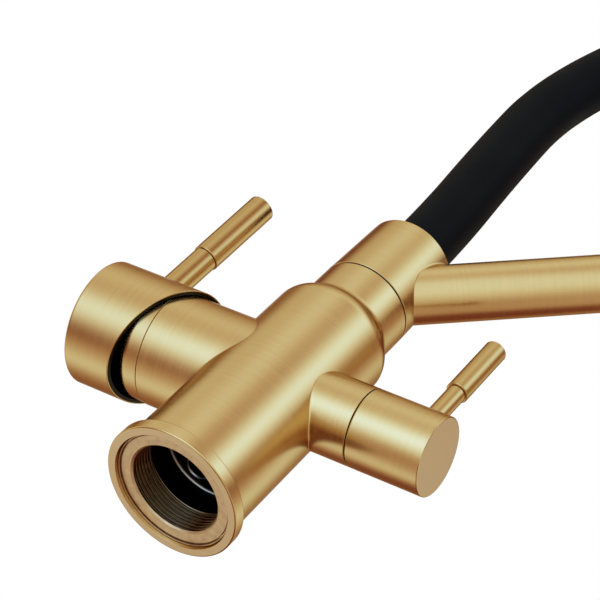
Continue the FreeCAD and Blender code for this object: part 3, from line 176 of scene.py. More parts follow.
@named
class TapHandleSizes(bpy.types.PropertyGroup):
    dome_radius: length("Radius of the cover at the barrel", 20.3)
    dome_bore: length("Inner radius of the cover at the barrel", 18.75)
    dome_seam: length("Depth of the groove between cover and barrel", 0.7)
    dome_edge: length("Straight part of the cover", 2.5)
    dome_roll: length("Radius of the cover's rolled shoulder", 6.0)
    dome_mouth: length("Radius of the hole in the cover", 12.0)
    dome_wall: length("Wall of the cover", 1.4)
    cap_radius: length("Radius of the mixer cap", 22.6)
    cap_bore: length("Inner radius of the mixer cap", 20.9)
    cap_end: length("Reach of the mixer cap", 72.0)
    cap_roof: length("Thickness of the mixer cap's end", 3.0)
    cap_edge: length("Rounding of the mixer cap's end", 1.0)
    cap_square: length("Part of the cap that the rim's slant doesn't reach", 2.0)
    rim_width: length("How far the cap's outer finish turns in at the rim", 0.35)
    rim_near: length("Reach of the rim on the lever's side", 35.4)
    rim_far: length("Reach of the rim opposite the lever", 53.8)
    mixer_turn: turn("Turn of the mixer lever about its barrel", 6.73)
    mixer_lean: turn("Lean of the mixer lever towards the column", 4.43)
    mixer_offset: length("Where the mixer lever crosses its axis", 62.5)
    mixer_rod: length("Radius of the mixer lever's rod", 4.8)
    mixer_rod_foot: length("Start of the mixer lever's rod", 17.0)
    mixer_grip: length("Radius of the mixer lever's grip", 5.2)
    mixer_grip_start: length("Start of the mixer lever's grip", 45.0)
    mixer_grip_end: length("End of the mixer lever's grip", 78.4)
    filter_offset: length("Where the filter lever crosses its axis", 52.1)
    filter_rod: length("Radius of the filter lever's rod", 3.41)
    filter_rod_foot: length("Start of the filter lever's rod", 12.0)
    filter_grip: length("Radius of the filter lever's grip", 4.1)
    filter_grip_start: length("Start of the filter lever's grip", 31.8)
    filter_grip_end: length("End of the filter lever's grip", 59.0)
    filter_cap: length("Radius of the filter cap", 14.0)
    filter_cap_start: length("Inner end of the filter cap", 35.9)
    filter_cap_end: length("Outer end of the filter cap", 63.3)
    filter_cap_bore: length("Inner radius of the filter cap", 11.8)
    filter_cap_depth: length("How far the filter cap's bore is shown", 8.0)
    grip_edge: length("Rounding of a grip's ends", 0.4)
    grip_gap: length("Groove between a lever's rod and its grip", 0.1)
    grip_spigot: length("How much narrower the rod is inside the grip", 1.2)
    grip_spigot_end: length("How far the rod reaches into the grip", 0.5)


@named
class TapSpoutSizes(bpy.types.PropertyGroup):
    seam: length("Height of the dark ring between neck and collar", 0.6)
    glide_bore: length("Inner radius of the dark ring", 11.3)
    glide_inset: length("How far the dark ring lies inside the neck", 0.4)
    collar_foot: length("Height of the collar's lower face", 117.3)
    collar_top: length("Height of the collar's upper face", 149.2)
    collar_low_radius: length("Radius of the collar's foot", 17.8)
    collar_high_radius: length("Radius of the collar's top", 17.2)
    collar_bore: length("Radius of the socket for the hose", 11.7)
    collar_hole: length("Radius of the collar's hole round the spigot", 11.1)
    socket_floor: length("Height of the socket's floor", 142.0)
    arm_radius: length("Radius of the arm", 10.5)
    arm_wall: length("Wall of the arm", 1.5)
    arm_height: length("Height where the arm's axis crosses the body's axis", 122.0)
    arm_slope: turn("Rise of the arm above level", 38.5)
    arm_reach: length("Distance of the outlet from the body's axis", 185.0)
    arm_end: length("Height of the arm's lower end", 194.0)
    bend_radius: length("Radius of the arm's bend", 28.0)
    arm_fillet: length("Rounding where the arm leaves the collar", 0.9)
    flange_radius: length("Radius of the outlet's ring", 10.4)
    flange_height: length("Height of the outlet's ring", 3.0)
    outlet_bore: length("Radius of the outlet", 6.5)
    outlet_depth: length("How far the outlet's bore is shown above the arm's end", 4.0)
    dock_reach: length("Distance of the dock from the body's axis", 220.5)
    dock_base: length("Height of the dock's lower face", 197.5)
    dock_height: length("Height of the dock", 12.0)
    dock_edge: length("Rounding of the dock's edges", 0.8)
    dock_clamp: length("Radius of the clamp round the arm", 13.2)
    dock_ring: length("Radius of the dock's ring", 17.0)
    dock_liner: length("Inner radius of the dock's liner", 12.5)
    dock_liner_wall: length("Wall of the dock's liner", 1.5)
    dock_lip: length("Height of the liner's lip on the dock", 0.8)
    dock_lip_width: length("Width of the liner's lip", 1.5)
    dock_mouth: length("Width of the dock's mouth", 21.6)
    dock_bridge: length("Width of the bridge between clamp and ring", 14.0)
    dock_overlap: length("How far the bridge runs into the clamp and the ring", 2.0)


@named
class TapHoseSizes(bpy.types.PropertyGroup):
    hose_radius: length("Radius of the sleeved hose", 11.4)
    hose_start: length("Height of the hose's lower end in the collar", 144.5)
    hose_end: length("Height of the hose's end at the head", 228.0)
    ferrule_wall: length("Wall of the ferrule", 1.5)
    hose_bore: length("Radius of the holes that pass the water hose", 6.05)
    ferrule_base: length("Height of the ferrule's lower face", 224.0)
    ferrule_top: length("Height of the ferrule's upper face", 246.0)
    nut_top: length("Height of the swivel nut's upper face", 223.5)
    nut_base: length("Height of the swivel nut's lower face", 213.5)
    head_neck: length("Radius of the head's neck", 12.2)
    head_radius: length("Radius of the head", 15.5)
    head_bore: length("Inner radius of the head's shell", 13.4)
    head_bottom: length("Height of the head's lower edge", 150.4)
    head_shoulder: length("Height where the head begins to narrow", 188.6)
    head_waist: length("Height where the head has narrowed", 193.5)
    head_round: length("Rounding above and below the waist", 7.0)
    nut_bore: length("Radius of the swivel nut's lower hole", 10.0)
    stalk_bore: length("Radius of the hole for the stalk in the head's neck", 10.2)
    face_recess: length("How deep the spray face lies in the shell", 0.5)
    aerator_radius: length("Radius of the head's aerator", 7.1)
    nozzle_radius: length("Radius of a spray nozzle", 0.9)
    nozzle_height: length("Length of a spray nozzle", 1.2)
    nozzle_ring: length("Radius of the circle of nozzles", 10.3)
    button_base: length("Height of the button's lower end", 170.0)
    button_height: length("Height of the button", 13.0)
    button_width: length("Width of the button", 7.4)
    button_depth: length("Depth of the button", 4.3)
    button_proud: length("How far the button stands out of the shell", 1.2)
    button_slack: length("Gap round the button", 0.3)
    button_corner: length("Rounding of the button's corners", 2.2)


@named
class TapFinishes(bpy.types.PropertyGroup):
    gold: colour("Brushed gold", 0.76, 0.54, 0.27)
    # Painted shade: the levers wear a darker copy of the brushed gold, for how dark they look under the
    # studio light
    lever_gold: colour("Deeper gold of the two levers", 0.68, 0.45, 0.20)
    # Partly real, partly painted reflection: turned end faces are rougher, and their paler, pinker
    # colour is a painted reflection of the studio
    faced_gold: colour("Turned end faces", 0.74, 0.53, 0.34)
    gold_matte: colour("Machined face of the base", 0.74, 0.53, 0.34)
    # Painted shade: the cut thread is coloured dark brown for the shade inside the foot
    thread: colour("Cut thread in the foot", 0.25, 0.16, 0.09)
    # Painted shade: near black, standing in for the shade inside the foot and the mixer cap
    bore: colour("Unlit machined inside of the foot and the cap", 0.03, 0.024, 0.02)
    gold_roughness: share("Roughness of the brushed gold", 0.24)
    brass: colour("Raw brass of the inner fittings", 0.72, 0.53, 0.22)
    steel: colour("Screens, screws and pins", 0.56, 0.56, 0.57)
    silicone: colour("Sleeve of the hose", 0.002, 0.0032, 0.0058)
    rubber: colour("Seals and nozzles", 0.018, 0.018, 0.02)
    black_plastic: colour("Spray face, button and liner", 0.02, 0.02, 0.022)
    white_plastic: colour("Cartridge", 0.78, 0.78, 0.75)
    ceramic: colour("Discs of the valves", 0.86, 0.84, 0.80)
    inner_hose: colour("Hose and tube that carry the water", 0.62, 0.62, 0.60)


@named
class TapStage(bpy.types.PropertyGroup):
    floor: colour("Pale floor", 0.90, 0.90, 0.90)
    floor_half: length("Half the side of the floor", 2000.0)
    floor_level: length("Height of the floor", -0.5)
    focal_length: lens("Lens of the camera", 134.6)
    sensor: lens("Width of the camera's sensor", 36.0)


# --- Surfaces ---
def rounded(corners):
    """A line through corners (across, along, rounding). Each corner with a rounding becomes an arc
    tangent to its two sides, with a point a hair outside each end so that the sides shade flat."""
    spots = np.array([corner[:2] for corner in corners], float)
    line = [spots[:1]]
    for place in range(1, len(spots) - 1):
        here = spots[place]
        radius = corners[place][2] if len(corners[place]) > 2 else HAIR
        back, ahead = spots[place - 1] - here, spots[place + 1] - here
        back_length, ahead_length = np.linalg.norm(back), np.linalg.norm(ahead)
        back, ahead = back / back_length, ahead / ahead_length
        half = 0.5 * np.arccos(np.clip(back @ ahead, -1.0, 1.0))
        if half > 0.5 * np.pi - 1e-3:
            line.append(here[None])
            continue
        reach = min(radius / np.tan(half), 0.45 * back_length, 0.45 * ahead_length)
        radius = reach * np.tan(half)
        middle = here + (back + ahead) / np.linalg.norm(back + ahead) * radius / np.sin(half)
        first, last = here + back * reach - middle, here + ahead * reach - middle
        sweep = np.pi - 2 * half
        part = np.linspace(0, 1, max(4, math.ceil(sweep / ARC_STEP)) + 1)[:, None]
        arc = middle + (np.sin((1 - part) * sweep) * first + np.sin(part * sweep) * last) / np.sin(sweep)
        hair = min(HAIR, 0.05 * back_length, 0.05 * ahead_length)
        line += [(here + back * (reach + hair))[None], arc, (here + ahead * (reach + hair))[None]]
    line.append(spots[-1:])
    return np.concatenate(line)


def pad(half, low, high, corner):
    """A closed rectangle with rounded corners, from the middle of its lower side and back to it."""
    return rounded([(0, low), (half, low, corner), (half, high, corner), (-half, high, corner),
                    (-half, low, corner), (0, low)])


def band(inner, outer, low, high, inner_edge, outer_edge):
    """The closed outline of a ring, from the middle of its bore and back to it."""
    start = (inner, (low + high) / 2)
    return rounded([start, (inner, low, inner_edge), (outer, low, outer_edge),
                    (outer, high, outer_edge), (inner, high, inner_edge), start])


def along(line):
    """Distance travelled along a line of points, from its first point."""
    steps = np.linalg.norm(np.diff(line, axis=0), axis=1)
    return np.concatenate([[0.0], np.cumsum(steps)])


def round_axis(radius, angles, height):
    """Points at radius times the angle's cosine, radius times its sine, and the height: in rows by
    height and in columns by angle."""
    across, aside = radius * np.cos(angles), radius * np.sin(angles)
    return np.stack(np.broadcast_arrays(across, aside, height), axis=2)


def circle(around):
    return np.linspace(0, TURN, around, endpoint=False)


def lathe(line, around=ROUND, start=0.0, sweep=TURN):
    """A line of (radius, height) carried round the own z axis: (r cos a, r sin a, height)."""
    whole = sweep > TURN - 1e-6
    angles = start + np.linspace(0, sweep, around, endpoint=not whole)
    return {"points": round_axis(line[:, :1], angles, line[:, 1:2]),
            "grain": round_axis(float(line[:, 0].max()), angles, along(line)[:, None]), "wrap": whole}


def placed(grid, origin, way_x=OUT_X, way_z=UP):
    """The same grid in a frame whose own x and z axes point along way_x and way_z."""
    way_x, way_z = np.asarray(way_x, float), np.asarray(way_z, float)
    axes = np.stack([way_x, np.cross(way_z, way_x), way_z])
    return dict(grid, points=grid["points"] @ axes + np.asarray(origin, float))


def faces_of(rows, columns, wrap, keep, base):
    """Quads between neighbouring rows and columns, the last column joined to the first if it wraps."""
    row, column = np.meshgrid(np.arange(rows - 1), np.arange(columns if wrap else columns - 1),
                              indexing="ij")
    after = (column + 1) % columns
    quads = np.stack([row * columns + column, row * columns + after,
                      (row + 1) * columns + after, (row + 1) * columns + column], axis=2)
    if keep is not None:
        quads = quads[keep]
    return quads.reshape(-1, 4) + base


def piece(name, grids, finish, body, *nodes, slot="brushed_gold"):
    """One smooth mesh from several grids, which rides on a body and stands for the CAD nodes."""
    points, grain, quads, base = [], [], [], 0
    for grid in grids:
        rows, columns = grid["points"].shape[:2]
        quads.append(faces_of(rows, columns, grid["wrap"], grid.get("keep"), base))
        points.append(grid["points"].reshape(-1, 3))
        grain.append(grid["grain"].reshape(-1, 3))
        base += rows * columns
    mesh = bpy.data.meshes.new(name)
    mesh.from_pydata(np.concatenate(points).tolist(), [], np.concatenate(quads).tolist())
    mesh.attributes.new("grain", "FLOAT_VECTOR", "POINT").data.foreach_set(
        "vector", np.concatenate(grain).astype(np.float32).ravel())
    weld(mesh)
    mesh.polygons.foreach_set("use_smooth", np.ones(len(mesh.polygons), bool))
    mesh.materials.append(MATERIALS[finish])
    thing = bpy.data.objects.new(name, mesh)
    bpy.context.scene.collection.objects.link(thing)
    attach(thing, body)
    if nodes:
        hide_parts(*nodes)
    return thing


def turned(name, corners, finish, body, *nodes, foot=(0, 0, 0), side=OUT_X, way=UP, around=ROUND,
           slot="brushed_gold"):
    """A turned piece: its outline carried round the axis that starts at its foot and points its way."""
    grid = placed(lathe(rounded(corners), around), foot, side, way)
    return piece(name, [grid], finish, body, *nodes, slot=slot)


def faced(thing, way):
    """The flat faces of a piece that look along a way take the finish of a turned end: rougher, with a
    paler, pinker colour painted as a reflection of the studio.
    """
    mesh = thing.data
    mesh.materials.append(MATERIALS["faced_gold"])
    ways = np.empty(3 * len(mesh.polygons), np.float32)
    mesh.polygons.foreach_get("normal", ways)
    flat = ways.reshape(-1, 3) @ np.asarray(way, np.float32) > 0.9999
    mesh.polygons.foreach_set("material_index", flat.astype(np.int32))


def weld(mesh):
    """Close the poles: points that coincide become one, and faces left without area go."""
    work = bmesh.new()
    work.from_mesh(mesh)
    bmesh.ops.remove_doubles(work, verts=work.verts, dist=1e-7)
    bmesh.ops.dissolve_degenerate(work, edges=work.edges, dist=1e-8)
    work.to_mesh(mesh)
    work.free()


def tube_meets_column(origin, way, side, radius, column, fillet):
    """Where a tube leaves an upright column: the distance along the tube's axis at which a ball of the
    fillet's radius touches both, for each angle round the tube, and the fillet's own grid."""
    origin, way, side = (np.asarray(vector, float) for vector in (origin, way, side))
    angles = circle(ROUND)
    spoke = np.cos(angles)[:, None] * side + np.sin(angles)[:, None] * np.cross(way, side)
    start = origin + (radius + fillet) * spoke
    flat = way[:2] @ way[:2]
    lean = start[:, :2] @ way[:2]
    gap = (start[:, :2] ** 2).sum(axis=1) - (column + fillet) ** 2
    travel = (-lean + np.sqrt(np.maximum(lean ** 2 - flat * gap, 0.0))) / flat
    middle = start + travel[:, None] * way
    to_column = -middle * (1, 1, 0)
    to_column /= np.linalg.norm(to_column, axis=1, keepdims=True)
    sweep = np.arccos(np.clip((-spoke * to_column).sum(axis=1), -1, 1))[None, :, None]
    part = np.linspace(0, 1, FILLET_ROWS)[:, None, None]
    ways = (np.sin((1 - part) * sweep) * to_column - np.sin(part * sweep) * spoke) / np.sin(sweep)
    return travel, {"points": middle + fillet * ways,
                    "grain": round_axis(radius, angles, fillet * 1.5 * part[..., 0]), "wrap": True}


def tube_from(origin, way, side, radius, begin, line):
    """A tube that starts at a distance for each angle and ends in a line of (radius, distance)."""
    origin, way, side = (np.asarray(vector, float) for vector in (origin, way, side))
    angles = circle(len(begin))
    part = np.linspace(0, 1, TUBE_ROWS)[:, None]
    radii = np.concatenate([radius + 0 * part[:, 0], line[1:, 0]])[:, None]
    travel = np.concatenate([begin + (line[0, 1] - begin) * part, line[1:, 1:2] + 0 * begin])
    points = (origin + travel[..., None] * way + (radii * np.cos(angles))[..., None] * side
              + (radii * np.sin(angles))[..., None] * np.cross(way, side))
    return {"points": points, "wrap": True,
            "grain": round_axis(radius, angles, travel + (radius - radii))}


def ribbon(inner, outer, rows):
    """A sheet between two closed loops of points."""
    part = np.linspace(0, 1, rows)[:, None]
    width = np.linalg.norm(outer - inner, axis=1).mean()
    return {"points": inner + (outer - inner) * part[..., None],
            "grain": round_axis(RIBBON_GRAIN, circle(len(inner)), width * part), "wrap": True}


# --- Finishes ---
def shader(name, base, metallic, roughness):
    material = bpy.data.materials.new(name)
    material.use_nodes = True
    tree = material.node_tree
    principled = tree.nodes["Principled BSDF"]
    principled.inputs["Base Color"].default_value = (*base, 1.0)
    principled.inputs["Metallic"].default_value = metallic
    principled.inputs["Roughness"].default_value = roughness
    return material, tree, principled


def wired(tree, kind, settings=(), *values, **inputs):
    """A new shader node with its settings. Its inputs, in their order or by name, hold the values
    or meet the outputs that are given."""
    made = tree.nodes.new("ShaderNode" + kind)
    for key, value in dict(settings).items():
        setattr(made, key, value)
    for key, value in (*enumerate(values), *inputs.items()):
        socket = made.inputs[key if isinstance(key, int) else key.replace("_", " ")]
        if isinstance(value, bpy.types.NodeSocket):
            tree.links.new(value, socket)
        else:
            socket.default_value = value
    return made


def math_of(tree, operation, *values):
    return wired(tree, "Math", {"operation": operation}, *values).outputs["Value"]


def ramped(tree, source, low, high, start=0.3, stop=0.7):
    """A value that goes from low to high while the source goes from start to stop."""
    return wired(tree, "MapRange", Value=source, From_Min=start, From_Max=stop, To_Min=low,
                 To_Max=high).outputs["Result"]


def stretched_noise(tree, source, scale, detail=3.0):
    stretched = wired(tree, "Mapping", Vector=source, Scale=scale).outputs["Vector"]
    return wired(tree, "TexNoise", Vector=stretched, Scale=1.0, Detail=detail).outputs["Fac"]


def own_grain(tree):
    """Where on the piece's turning a spot lies: round its axis and along its outline."""
    return wired(tree, "Attribute", {"attribute_name": "grain"}).outputs["Vector"]


def own_space(tree):
    return wired(tree, "TexCoord").outputs["Object"]


def tinted(tree, principled, base, spread, source):
    """The base colour, darker and lighter by a share of itself as the source goes from 0 to 1."""
    mix = wired(tree, "Mix", {"data_type": "RGBA"}, Factor=source,
                A=(*(part * (1 - spread) for part in base), 1.0),
                B=(*(min(1.0, part * (1 + spread)) for part in base), 1.0))
    tree.links.new(mix.outputs["Result"], principled.inputs["Base Color"])


def bumped(tree, principled, source, distance):
    bump = wired(tree, "Bump", Strength=1.0, Distance=distance, Height=source)
    tree.links.new(bump.outputs["Normal"], principled.inputs["Normal"])


def brushed_metal(name, base, roughness, turning=True):
    """Brushed along the turning: long fine scratches round the piece, a slow drift in sheen, and
    outlines darker than the faces that are seen straight on."""
    material, tree, principled = shader(name, base, 1.0, roughness)
    principled.inputs["Specular Tint"].default_value = METAL_EDGE_TINT
    where = own_grain(tree) if turning else own_space(tree)
    scratches = stretched_noise(tree, where, (60, 60, 3200) if turning else (200, 200, 3200))
    bands = stretched_noise(tree, where, (30, 30, 900) if turning else (90, 90, 900))
    grain = math_of(tree, "MULTIPLY_ADD", scratches, 0.5, ramped(tree, bands, 0.0, 0.5, 0.0, 1.0))
    tree.links.new(ramped(tree, grain, roughness * 0.9, roughness * 1.12),
                   principled.inputs["Roughness"])
    tinted(tree, principled, base, 0.04, ramped(tree, grain, 0.0, 1.0))
    bumped(tree, principled, grain, 0.0016 * MM)
    return material


def machined_metal(name, base, roughness):
    """A duller face straight from the lathe, with faint rings and small stains."""
    material, tree, principled = shader(name, base, 1.0, roughness)
    rings = stretched_noise(tree, own_grain(tree), (60, 60, 3800))
    stains = stretched_noise(tree, own_space(tree), (420, 420, 420), 4.0)
    tree.links.new(ramped(tree, rings, roughness * 0.85, roughness * 1.15),
                   principled.inputs["Roughness"])
    tinted(tree, principled, base, 0.10, ramped(tree, stains, 0.0, 1.0, 0.35, 0.65))
    bumped(tree, principled, rings, 0.01 * MM)
    return material


def moulded(name, base, roughness, grain_scale, bump_distance, gloss=0.4):
    """Rubber or plastic: a fine moulded grain and a slow change in gloss."""
    material, tree, principled = shader(name, base, 0.0, roughness)
    principled.inputs["Specular IOR Level"].default_value = gloss
    where = own_space(tree)
    grain = stretched_noise(tree, where, (grain_scale,) * 3, 4.0)
    slow = stretched_noise(tree, where, (60,) * 3, 2.0)
    tree.links.new(ramped(tree, slow, roughness * 0.92, min(1.0, roughness * 1.08)),
                   principled.inputs["Roughness"])
    tinted(tree, principled, base, 0.22, ramped(tree, grain, 0.0, 1.0))
    bumped(tree, principled, grain, bump_distance)
    return material


MATERIALS = {}


class TAP_OT_finishes(bpy.types.Operator):
    """Make every finish of the tap"""
    bl_idname = "tap.finishes"
    bl_label = "Finishes"

    def execute(self, context):
        look = context.scene.tap_finishes
        rough = look.gold_roughness
        MATERIALS.update(
            brushed_gold=brushed_metal("brushed_gold", look.gold, rough),
            faced_gold=brushed_metal("faced_gold", look.faced_gold, 1.4 * rough),
            lever_gold=brushed_metal("lever_gold", look.lever_gold, rough),
            gold_matte=machined_metal("machined_gold", look.gold_matte, 0.42),
            cut_thread=machined_metal("cut_thread", look.thread, 0.28),
            # Painted shade: the near-black bore colour, for the shade inside the foot and the cap
            dark_bore=machined_metal("dark_bore", look.bore, 0.24),
            gold_cad=brushed_metal("brushed_gold_plain", look.gold, rough, turning=False),
            raw_brass=brushed_metal("raw_brass", look.brass, 0.34, turning=False),
            steel=brushed_metal("steel", look.steel, 0.30, turning=False),
            black_silicone=moulded("black_silicone", look.silicone, 0.58, 5200, 0.02 * MM, gloss=0.07),
            black_rubber=moulded("black_rubber", look.rubber, 0.55, 2600, 0.01 * MM),
            black_plastic=moulded("black_plastic", look.black_plastic, 0.42, 2600, 0.01 * MM),
            white_plastic=moulded("white_plastic", look.white_plastic, 0.40, 1600, 0.01 * MM),
            ceramic=moulded("ceramic", look.ceramic, 0.18, 900, 0.004 * MM),
            inner_hose=moulded("inner_hose", look.inner_hose, 0.45, 1600, 0.01 * MM))
        return {"FINISHED"}


class TAP_OT_inner_pieces(bpy.types.Operator):
    """Give each carried-over CAD node the finish of its material slot"""
    bl_idname = "tap.inner_pieces"
    bl_label = "Inner pieces"

    def execute(self, context):
        wear = {part["node"]: part["material_slot"] for part in FRAME["record"]["subparts"]}
        for node, thing in FRAME["nodes"].items():
            finish = MATERIALS["gold_cad"] if wear[node] == "brushed_gold" else MATERIALS[wear[node]]
            for slot in thing.material_slots:
                slot.material = finish
        return {"FINISHED"}


# --- Base and body ---
class TAP_OT_base(bpy.types.Operator):
    """Turn the base ring and the washer in its recess"""
    bl_idname = "tap.base"
    bl_label = "Base ring"

    def execute(self, context):
        body = context.scene.tap_body
        top, step, bore = body.ring_height, body.ring_step, body.foot_radius + FIT
        ring = turned("base_ring_look", [
            (body.ring_bore, step), (body.ring_bore, 0, 0.15 * MM),
            (body.ring_radius, 0, body.ring_edge), (body.ring_radius, top, body.ring_edge),
            (bore, top), (bore, step), (body.ring_bore, step)], "brushed_gold", "tap", "base_ring")
        faced(ring, DOWN)
        low = step - body.washer_height
        inner, outer = body.foot_radius + body.washer_gap, body.ring_bore - body.washer_gap
        turned("base_washer_look", [
            (inner, step), (inner, low, SHARP), (outer, low, SHARP), (outer, step), (inner, step)],
            "gold_matte", "tap", "base_washer", slot="raw_brass")
        return {"FINISHED"}


def thread_wall(body):
    """The threaded wall, downwards: its radius swings between crest and root with the height less the
    share of a pitch that the angle has turned."""
    low = body.foot_recess + body.thread_chamfer
    height, angles = np.linspace(body.thread_end, low, THREAD_ROWS)[:, None], circle(ROUND)
    phase = height / body.thread_pitch - angles / TURN
    tooth = np.clip(FLANK * np.abs(phase % 1.0 * 2 - 1) - CREST, 0, 1)
    run_out = np.clip((height - low) / MM, 0, 1) * np.clip((body.thread_end - height) / MM, 0, 1)
    radius = body.thread_radius + body.thread_depth * tooth * run_out
    return {"points": round_axis(radius, angles, height),
            "grain": round_axis(body.thread_radius, angles, height), "wrap": True}


def ported_floor(body):
    """The floor behind the thread, in one sector for each port: every sector is a sheet from the
    port's edge out to the nearest of the bore's wall and the two lines that bound the sector."""
    floor, rims = [], []
    top, back, aside = body.thread_top, -body.mixer_port_back, body.mixer_port_aside
    ports = np.array([(body.filter_port, 0.0), (back, aside), (back, -aside)])
    cut = math.atan2(aside, back) / 2
    sectors = [(-cut, cut), (cut, math.pi), (math.pi, TURN - cut)]
    angles = circle(SMALL_ROUND)
    ray = np.stack([np.cos(angles), np.sin(angles)], axis=1)
    for centre, sector in zip(ports, sectors):
        lean = ray @ centre
        reach = -lean + np.sqrt(lean ** 2 - centre @ centre + body.thread_radius ** 2)
        for limit, sign in zip(sector, (1, -1)):
            normal = np.array([-math.sin(limit), math.cos(limit)]) * sign
            speed, room = ray @ normal, centre @ normal
            with np.errstate(divide="ignore", invalid="ignore"):
                reach = np.minimum(reach, np.where(speed < -1e-9, -room / speed, np.inf))
        outer, edge = (np.column_stack([centre + far * ray, np.full(len(ray), top)])[::-1]
                       for far in (reach[:, None], body.port_radius))
        floor.append(ribbon(outer, edge, 6))
        narrow, bevel = body.port_radius - body.port_step, top + body.port_bevel
        port = rounded([(0, top + body.port_depth), (narrow, top + body.port_depth), (narrow, bevel)])
        rim = rounded([(narrow, bevel), (body.port_radius, top)])
        floor.append(placed(lathe(port, PORT_ROUND), (*centre, 0)))
        rims.append(placed(lathe(rim, PORT_ROUND), (*centre, 0)))
    corner, hollow = np.linspace(0, 0.5 * math.pi, 7)[:, None], body.floor_round
    rims.append(lathe((body.thread_radius - hollow, top - hollow)
                      + hollow * np.concatenate([np.sin(corner), np.cos(corner)], axis=1)))
    return floor, rims


class TAP_OT_body(bpy.types.Operator):
    """Turn the column, its threaded foot and both side barrels, with rounded joints"""
    bl_idname = "tap.body"
    bl_label = "Body"

    def execute(self, context):
        body = context.scene.tap_body
        spigot_floor = body.neck_top - body.spigot_depth
        grids = [lathe(rounded([
            (body.foot_radius, body.ring_height), (body.column_foot, body.ring_height, 0.12 * MM),
            (body.column_top, body.shoulder, body.shoulder_round),
            (body.neck_radius, body.crease, body.crease_round),
            (body.neck_radius, body.neck_top, 0.25 * MM), (body.spigot_bore, body.neck_top),
            (body.spigot_bore, spigot_floor), (0, spigot_floor)]))]
        middle = (0, 0, body.handle_height)
        for name, way in (("mixer", IN_X), ("filter", OUT_X)):
            radius, end, bore, depth = (getattr(body, f"{name}_{part}") for part in (
                "barrel", "barrel_end", "seat", "seat_depth"))
            begin, fillet = tube_meets_column(middle, way, UP, radius, body.column_top,
                                              body.joint_fillet)
            mouth = rounded([(radius, end - 2 * MM), (radius, end, 0.25 * MM), (bore, end, SHARP),
                             (bore, end - depth)])
            grids += [fillet, tube_from(middle, way, UP, radius, begin, mouth)]
        piece("body_look", grids, "brushed_gold", "tap", "tap_body")
        crest, chamfer = body.thread_radius, body.thread_chamfer
        turned("foot_look", [
            (crest, body.foot_recess + chamfer), (crest + chamfer, body.foot_recess, 0.08 * MM),
            (body.foot_radius, body.foot_recess, CRISP), (body.foot_radius, body.ring_height)],
            "gold_matte", "tap")
        # Painted shade: the thread is dark brown for the shade inside the foot
        piece("thread_look", [thread_wall(body)], "cut_thread", "tap")
        wall = lathe(np.array([(crest, body.thread_top), (crest, body.thread_end)]))
        floor, rims = ported_floor(body)
        # Painted shade: the wall and floor behind the thread, with the ports, are coloured near black
        # for the shade deep in the foot
        piece("painted_shade_bore_look", [wall] + floor, "dark_bore", "tap")
        piece("port_rims_look", rims, "steel", "tap")
        return {"FINISHED"}


# --- Mixer handle ---
def turned_about_x(vector, angle):
    x, y, z = vector
    return (x, y * math.cos(angle) - z * math.sin(angle), y * math.sin(angle) + z * math.cos(angle))


class TAP_OT_mixer(bpy.types.Operator):
    """Turn the cover, the cap with its slanted rim, and the mixer lever"""
    bl_idname = "tap.mixer"
    bl_label = "Mixer handle"

    def execute(self, context):
        size, height = context.scene.tap_handles, context.scene.tap_body.handle_height
        end, dome, seam = context.scene.tap_body.mixer_barrel_end, size.dome_radius, size.dome_seam
        middle, crown = (0, 0, height), end + size.dome_edge + size.dome_roll
        turned("dome_look", [
            (size.dome_bore, end), (dome - seam, end), (dome - seam, end + seam / 2),
            (dome, end + seam / 2, SHARP), (dome, crown, size.dome_roll),
            (size.dome_mouth, crown, BROKEN), (size.dome_mouth, crown - size.dome_wall)],
            "brushed_gold", "tap", "cartridge_dome", foot=middle, side=UP, way=IN_X)

        up = turned_about_x(UP, size.mixer_turn)
        rim, roof = (size.rim_near + size.rim_far) / 2, size.cap_end - size.cap_roof
        radius, inner = size.cap_radius, size.cap_radius - size.rim_width
        shell = self.slanted([(inner, rim), (radius, rim, 0.25 * MM),
                              (radius, size.cap_end, size.cap_edge), (0, size.cap_end)], size, rim)
        inside = self.slanted([(0, roof), (size.cap_bore, roof, BROKEN), (size.cap_bore, rim, CRISP),
                               (inner, rim)], size, rim)
        cap = piece("mixer_cap_look", [placed(shell, middle, up, IN_X)], "brushed_gold", "mixer_handle",
                    "mixer_cap")
        faced(cap, IN_X)
        # Painted shade: the cap's roof, its bore and the inner part of its rim are coloured near black
        # for the shade inside the cap
        piece("mixer_cap_painted_shade_look", [placed(inside, middle, up, IN_X)], "dark_bore", "mixer_handle")

        lean, about = size.mixer_lean, size.mixer_turn
        make_lever("mixer", size, (-size.mixer_offset, 0, height),
                   turned_about_x((math.cos(lean), 0, -math.sin(lean)), about),
                   turned_about_x((math.sin(lean), 0, math.cos(lean)), about), "mixer_handle")
        return {"FINISHED"}

    def slanted(self, corners, size, rim):
        """A turned surface whose height falls with its own x at the rim, and less towards the end."""
        cap = lathe(rounded(corners))
        own, square = cap["points"], size.cap_end - size.cap_square
        weight = np.clip((square - own[..., 2]) / (square - rim), 0, 1)
        own[..., 2] -= own[..., 0] * (size.rim_far - size.rim_near) / (2 * size.cap_radius) * weight
        cap["grain"][..., 2] = own[..., 2] + size.cap_radius - np.hypot(own[..., 0], own[..., 1])
        return cap


def make_lever(name, size, foot, side, way, body):
    """A rod from its foot in the cap to the grip's step, and the grip beyond it."""
    rod, base, grip, start, end = (getattr(size, f"{name}_{part}") for part in (
        "rod", "rod_foot", "grip", "grip_start", "grip_end"))
    edge, neck = size.grip_edge, rod - size.grip_spigot
    low, high = start - size.grip_gap, start + size.grip_spigot_end
    for part, corners in (
            ("rod", [(0, base), (rod, base), (rod, low, edge), (neck, low), (neck, high), (0, high)]),
            ("grip", [(rod - MM, start), (grip, start, edge), (grip, end, edge), (0, end)])):
        # Painted shade: both lever pieces wear the darker copy of the gold
        turned(f"{name}_{part}_look", corners, "lever_gold", body, f"{name}_lever_{part}", foot=foot,
               side=side, way=way, around=SMALL_ROUND)


